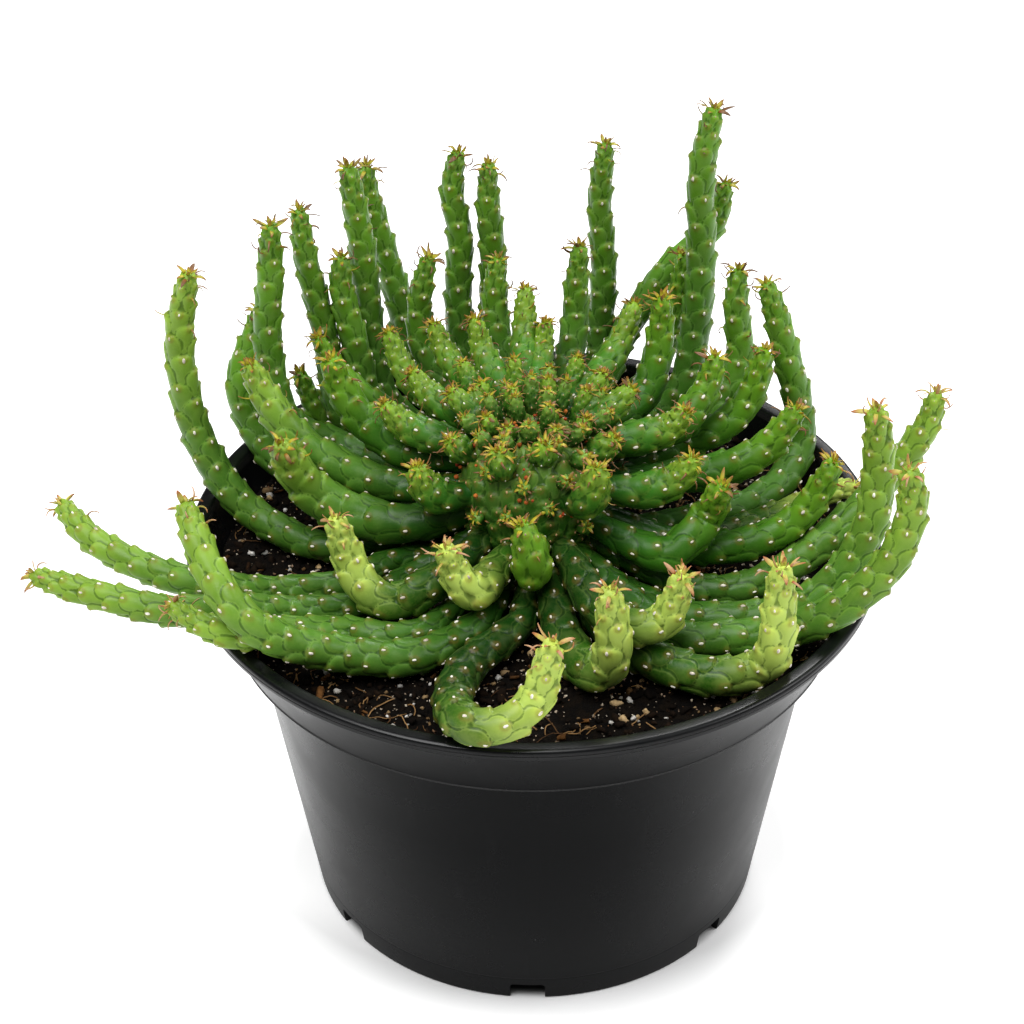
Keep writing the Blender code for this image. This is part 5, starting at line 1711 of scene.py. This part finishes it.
class EUPHORBIA_OT_young_arms(Operator):
    """Models the short young arms that crowd the crown"""

    bl_idname = "euphorbia.young_arms"
    bl_label = "Young Arms"
    bl_options = {"REGISTER", "UNDO"}

    def execute(self, context):
        settings = context.scene.euphorbia_plant
        made = finishes()
        parts = []
        for number, (course, (width, _)) in enumerate(zip(arm_courses()[1], SHORT_ARMS)):
            rng = np.random.default_rng(300 + number)
            rows = arm_rows(course, width, YOUNG_HABIT)
            parts.append(dressed_arm(f"young_{number}", rows, width,
                                     (made["young"], made["leaf_middle"], made["scar"]),
                                     settings, YOUNG_HABIT, settings.leaf_length / MM, rng))
        settle(joined("young_arms", parts), "crown_green")
        return {"FINISHED"}


class EUPHORBIA_OT_arms(Operator):
    """Models the long scaly arms, each with its scars and leaves"""

    bl_idname = "euphorbia.arms"
    bl_label = "Arms"
    bl_options = {"REGISTER", "UNDO"}

    def execute(self, context):
        settings = context.scene.euphorbia_plant
        made = finishes()
        for number, ((name, (tone, width, _)), course) in enumerate(zip(ARMS.items(), arm_courses()[0])):
            rng = np.random.default_rng(100 + number)
            habit = FRONT_HABIT if tone == "front" else ARM_HABIT
            rows = arm_rows(course, width, habit)
            if name in PALE_REACH:
                run = run_along(rows[0])
                rows = (*rows[:2], np.clip(1 - (run[-1] - run) / PALE_REACH[name], 0, 1))
            hue = "outer" if name in OUTER_ARMS else tone
            stem = dressed_arm(f"stem_{name}", rows, width,
                               (made[hue], made[f"leaf_{tone}"], made["scar"]),
                               settings, habit, settings.leaf_length / MM, rng)
            settle(stem, f"arm_green_{tone}", f"arm_{name}")
        return {"FINISHED"}


class EUPHORBIA_OT_stage(Operator):
    """Sets the pale floor, the soft lights and the camera"""

    bl_idname = "euphorbia.stage"
    bl_label = "Stage"
    bl_options = {"REGISTER", "UNDO"}

    def execute(self, context):
        settings = context.scene.euphorbia_stage
        finishes()
        clear_selection()
        bpy.ops.mesh.primitive_grid_add(x_subdivisions=2, y_subdivisions=2, size=8.0)
        floor = added("floor")
        floor.data.materials.append(paper_finish("floor_paper", settings.floor, settings.glow))
        for name, spot, size, power in (
                ("soft_lamp", (-0.35, -0.35, 1.4), 1.1, settings.lamp),
                ("side_lamp", (0.95, -0.1, 0.8), 0.7, settings.side_lamp),
                ("back_lamp", (0.35, 0.9, 1.0), 0.5, settings.back_lamp)):
            bpy.ops.object.light_add(type="AREA", location=spot)
            lamp = added(name)
            lamp.data.shape = "DISK"
            lamp.data.size = size
            lamp.data.energy = power
            aim = Vector(spot) - Vector(LAMPS_AIM)
            lamp.rotation_euler = aim.to_track_quat("Z", "Y").to_euler()
        world = bpy.data.worlds.new("even_light")
        world.use_nodes = True
        tree = world.node_tree
        sky = tree.nodes["Background"]
        sky.inputs["Color"].default_value = (1, 1, 1, 1)
        rays = add_node(tree, "ShaderNodeLightPath").outputs
        strength = ranged(tree, rays["Is Glossy Ray"], 0.0, 1.0, settings.sky, GLOSSY_SKY * settings.sky)
        seen = ranged(tree, rays["Is Camera Ray"], 0.0, 1.0)
        strength = sum_of(tree, "MAXIMUM", strength, seen)
        tree.links.new(strength, sky.inputs["Strength"])
        context.scene.world = world
        context.scene.view_settings.view_transform = "Standard"
        bpy.ops.object.camera_add()
        camera = added("camera")
        yaw, pitch, roll = (math.radians(angle) for angle in CAMERA_TURNS)
        ahead = Vector((math.sin(yaw) * math.cos(pitch), math.cos(yaw) * math.cos(pitch), -math.sin(pitch)))
        right = Vector((math.cos(yaw), -math.sin(yaw), 0))
        up = right.cross(ahead)
        across = right * math.cos(roll) + up * math.sin(roll)
        above = -right * math.sin(roll) + up * math.cos(roll)
        turn = Matrix((across, above, -ahead)).transposed().to_4x4()
        camera.matrix_world = Matrix.Translation(CAMERA_AT) @ turn
        camera.data.sensor_width = SENSOR
        camera.data.lens = settings.lens
        context.scene.camera = camera
        return {"FINISHED"}


STEPS = (EUPHORBIA_OT_stage, EUPHORBIA_OT_pot, EUPHORBIA_OT_mix, EUPHORBIA_OT_grit,
         EUPHORBIA_OT_crown, EUPHORBIA_OT_young_arms, EUPHORBIA_OT_arms)


class EUPHORBIA_PT_panel(Panel):
    """Lists the steps and settings of the potted euphorbia"""

    bl_idname = "EUPHORBIA_PT_panel"
    bl_label = "Potted Euphorbia"
    bl_space_type = "VIEW_3D"
    bl_region_type = "UI"
    bl_category = "Euphorbia"

    def draw(self, context):
        for step in STEPS:
            self.layout.operator(step.bl_idname)
        for name, (kind, _) in SETTINGS.items():
            box = self.layout.box()
            for prop in kind.__annotations__:
                box.prop(getattr(context.scene, name), prop)


SETTINGS = {
    "euphorbia_plant": (EuphorbiaPlantSettings, "Sizes and colours of the plant"),
    "euphorbia_pot": (EuphorbiaPotSettings, "Colours of the pot"),
    "euphorbia_mix": (EuphorbiaMixSettings, "The potting mix and what lies on it"),
    "euphorbia_stage": (EuphorbiaStageSettings, "The floor, lights and camera"),
}


def register():
    """Registers the settings, the steps and the panel."""
    for name, (kind, description) in SETTINGS.items():
        bpy.utils.register_class(kind)
        setattr(bpy.types.Scene, name, PointerProperty(type=kind, description=description))
    for step in STEPS:
        bpy.utils.register_class(step)
    bpy.utils.register_class(EUPHORBIA_PT_panel)


def unregister():
    """Takes them away again."""
    bpy.utils.unregister_class(EUPHORBIA_PT_panel)
    for step in reversed(STEPS):
        bpy.utils.unregister_class(step)
    for name, (kind, _) in reversed(SETTINGS.items()):
        delattr(bpy.types.Scene, name)
        bpy.utils.unregister_class(kind)


def main():
    """Runs every step."""
    register()
    bpy.ops.euphorbia.stage()
    bpy.ops.euphorbia.pot()
    bpy.ops.euphorbia.mix()
    bpy.ops.euphorbia.grit()
    bpy.ops.euphorbia.crown()
    bpy.ops.euphorbia.young_arms()
    bpy.ops.euphorbia.arms()


if __name__ == "__main__":
    main()
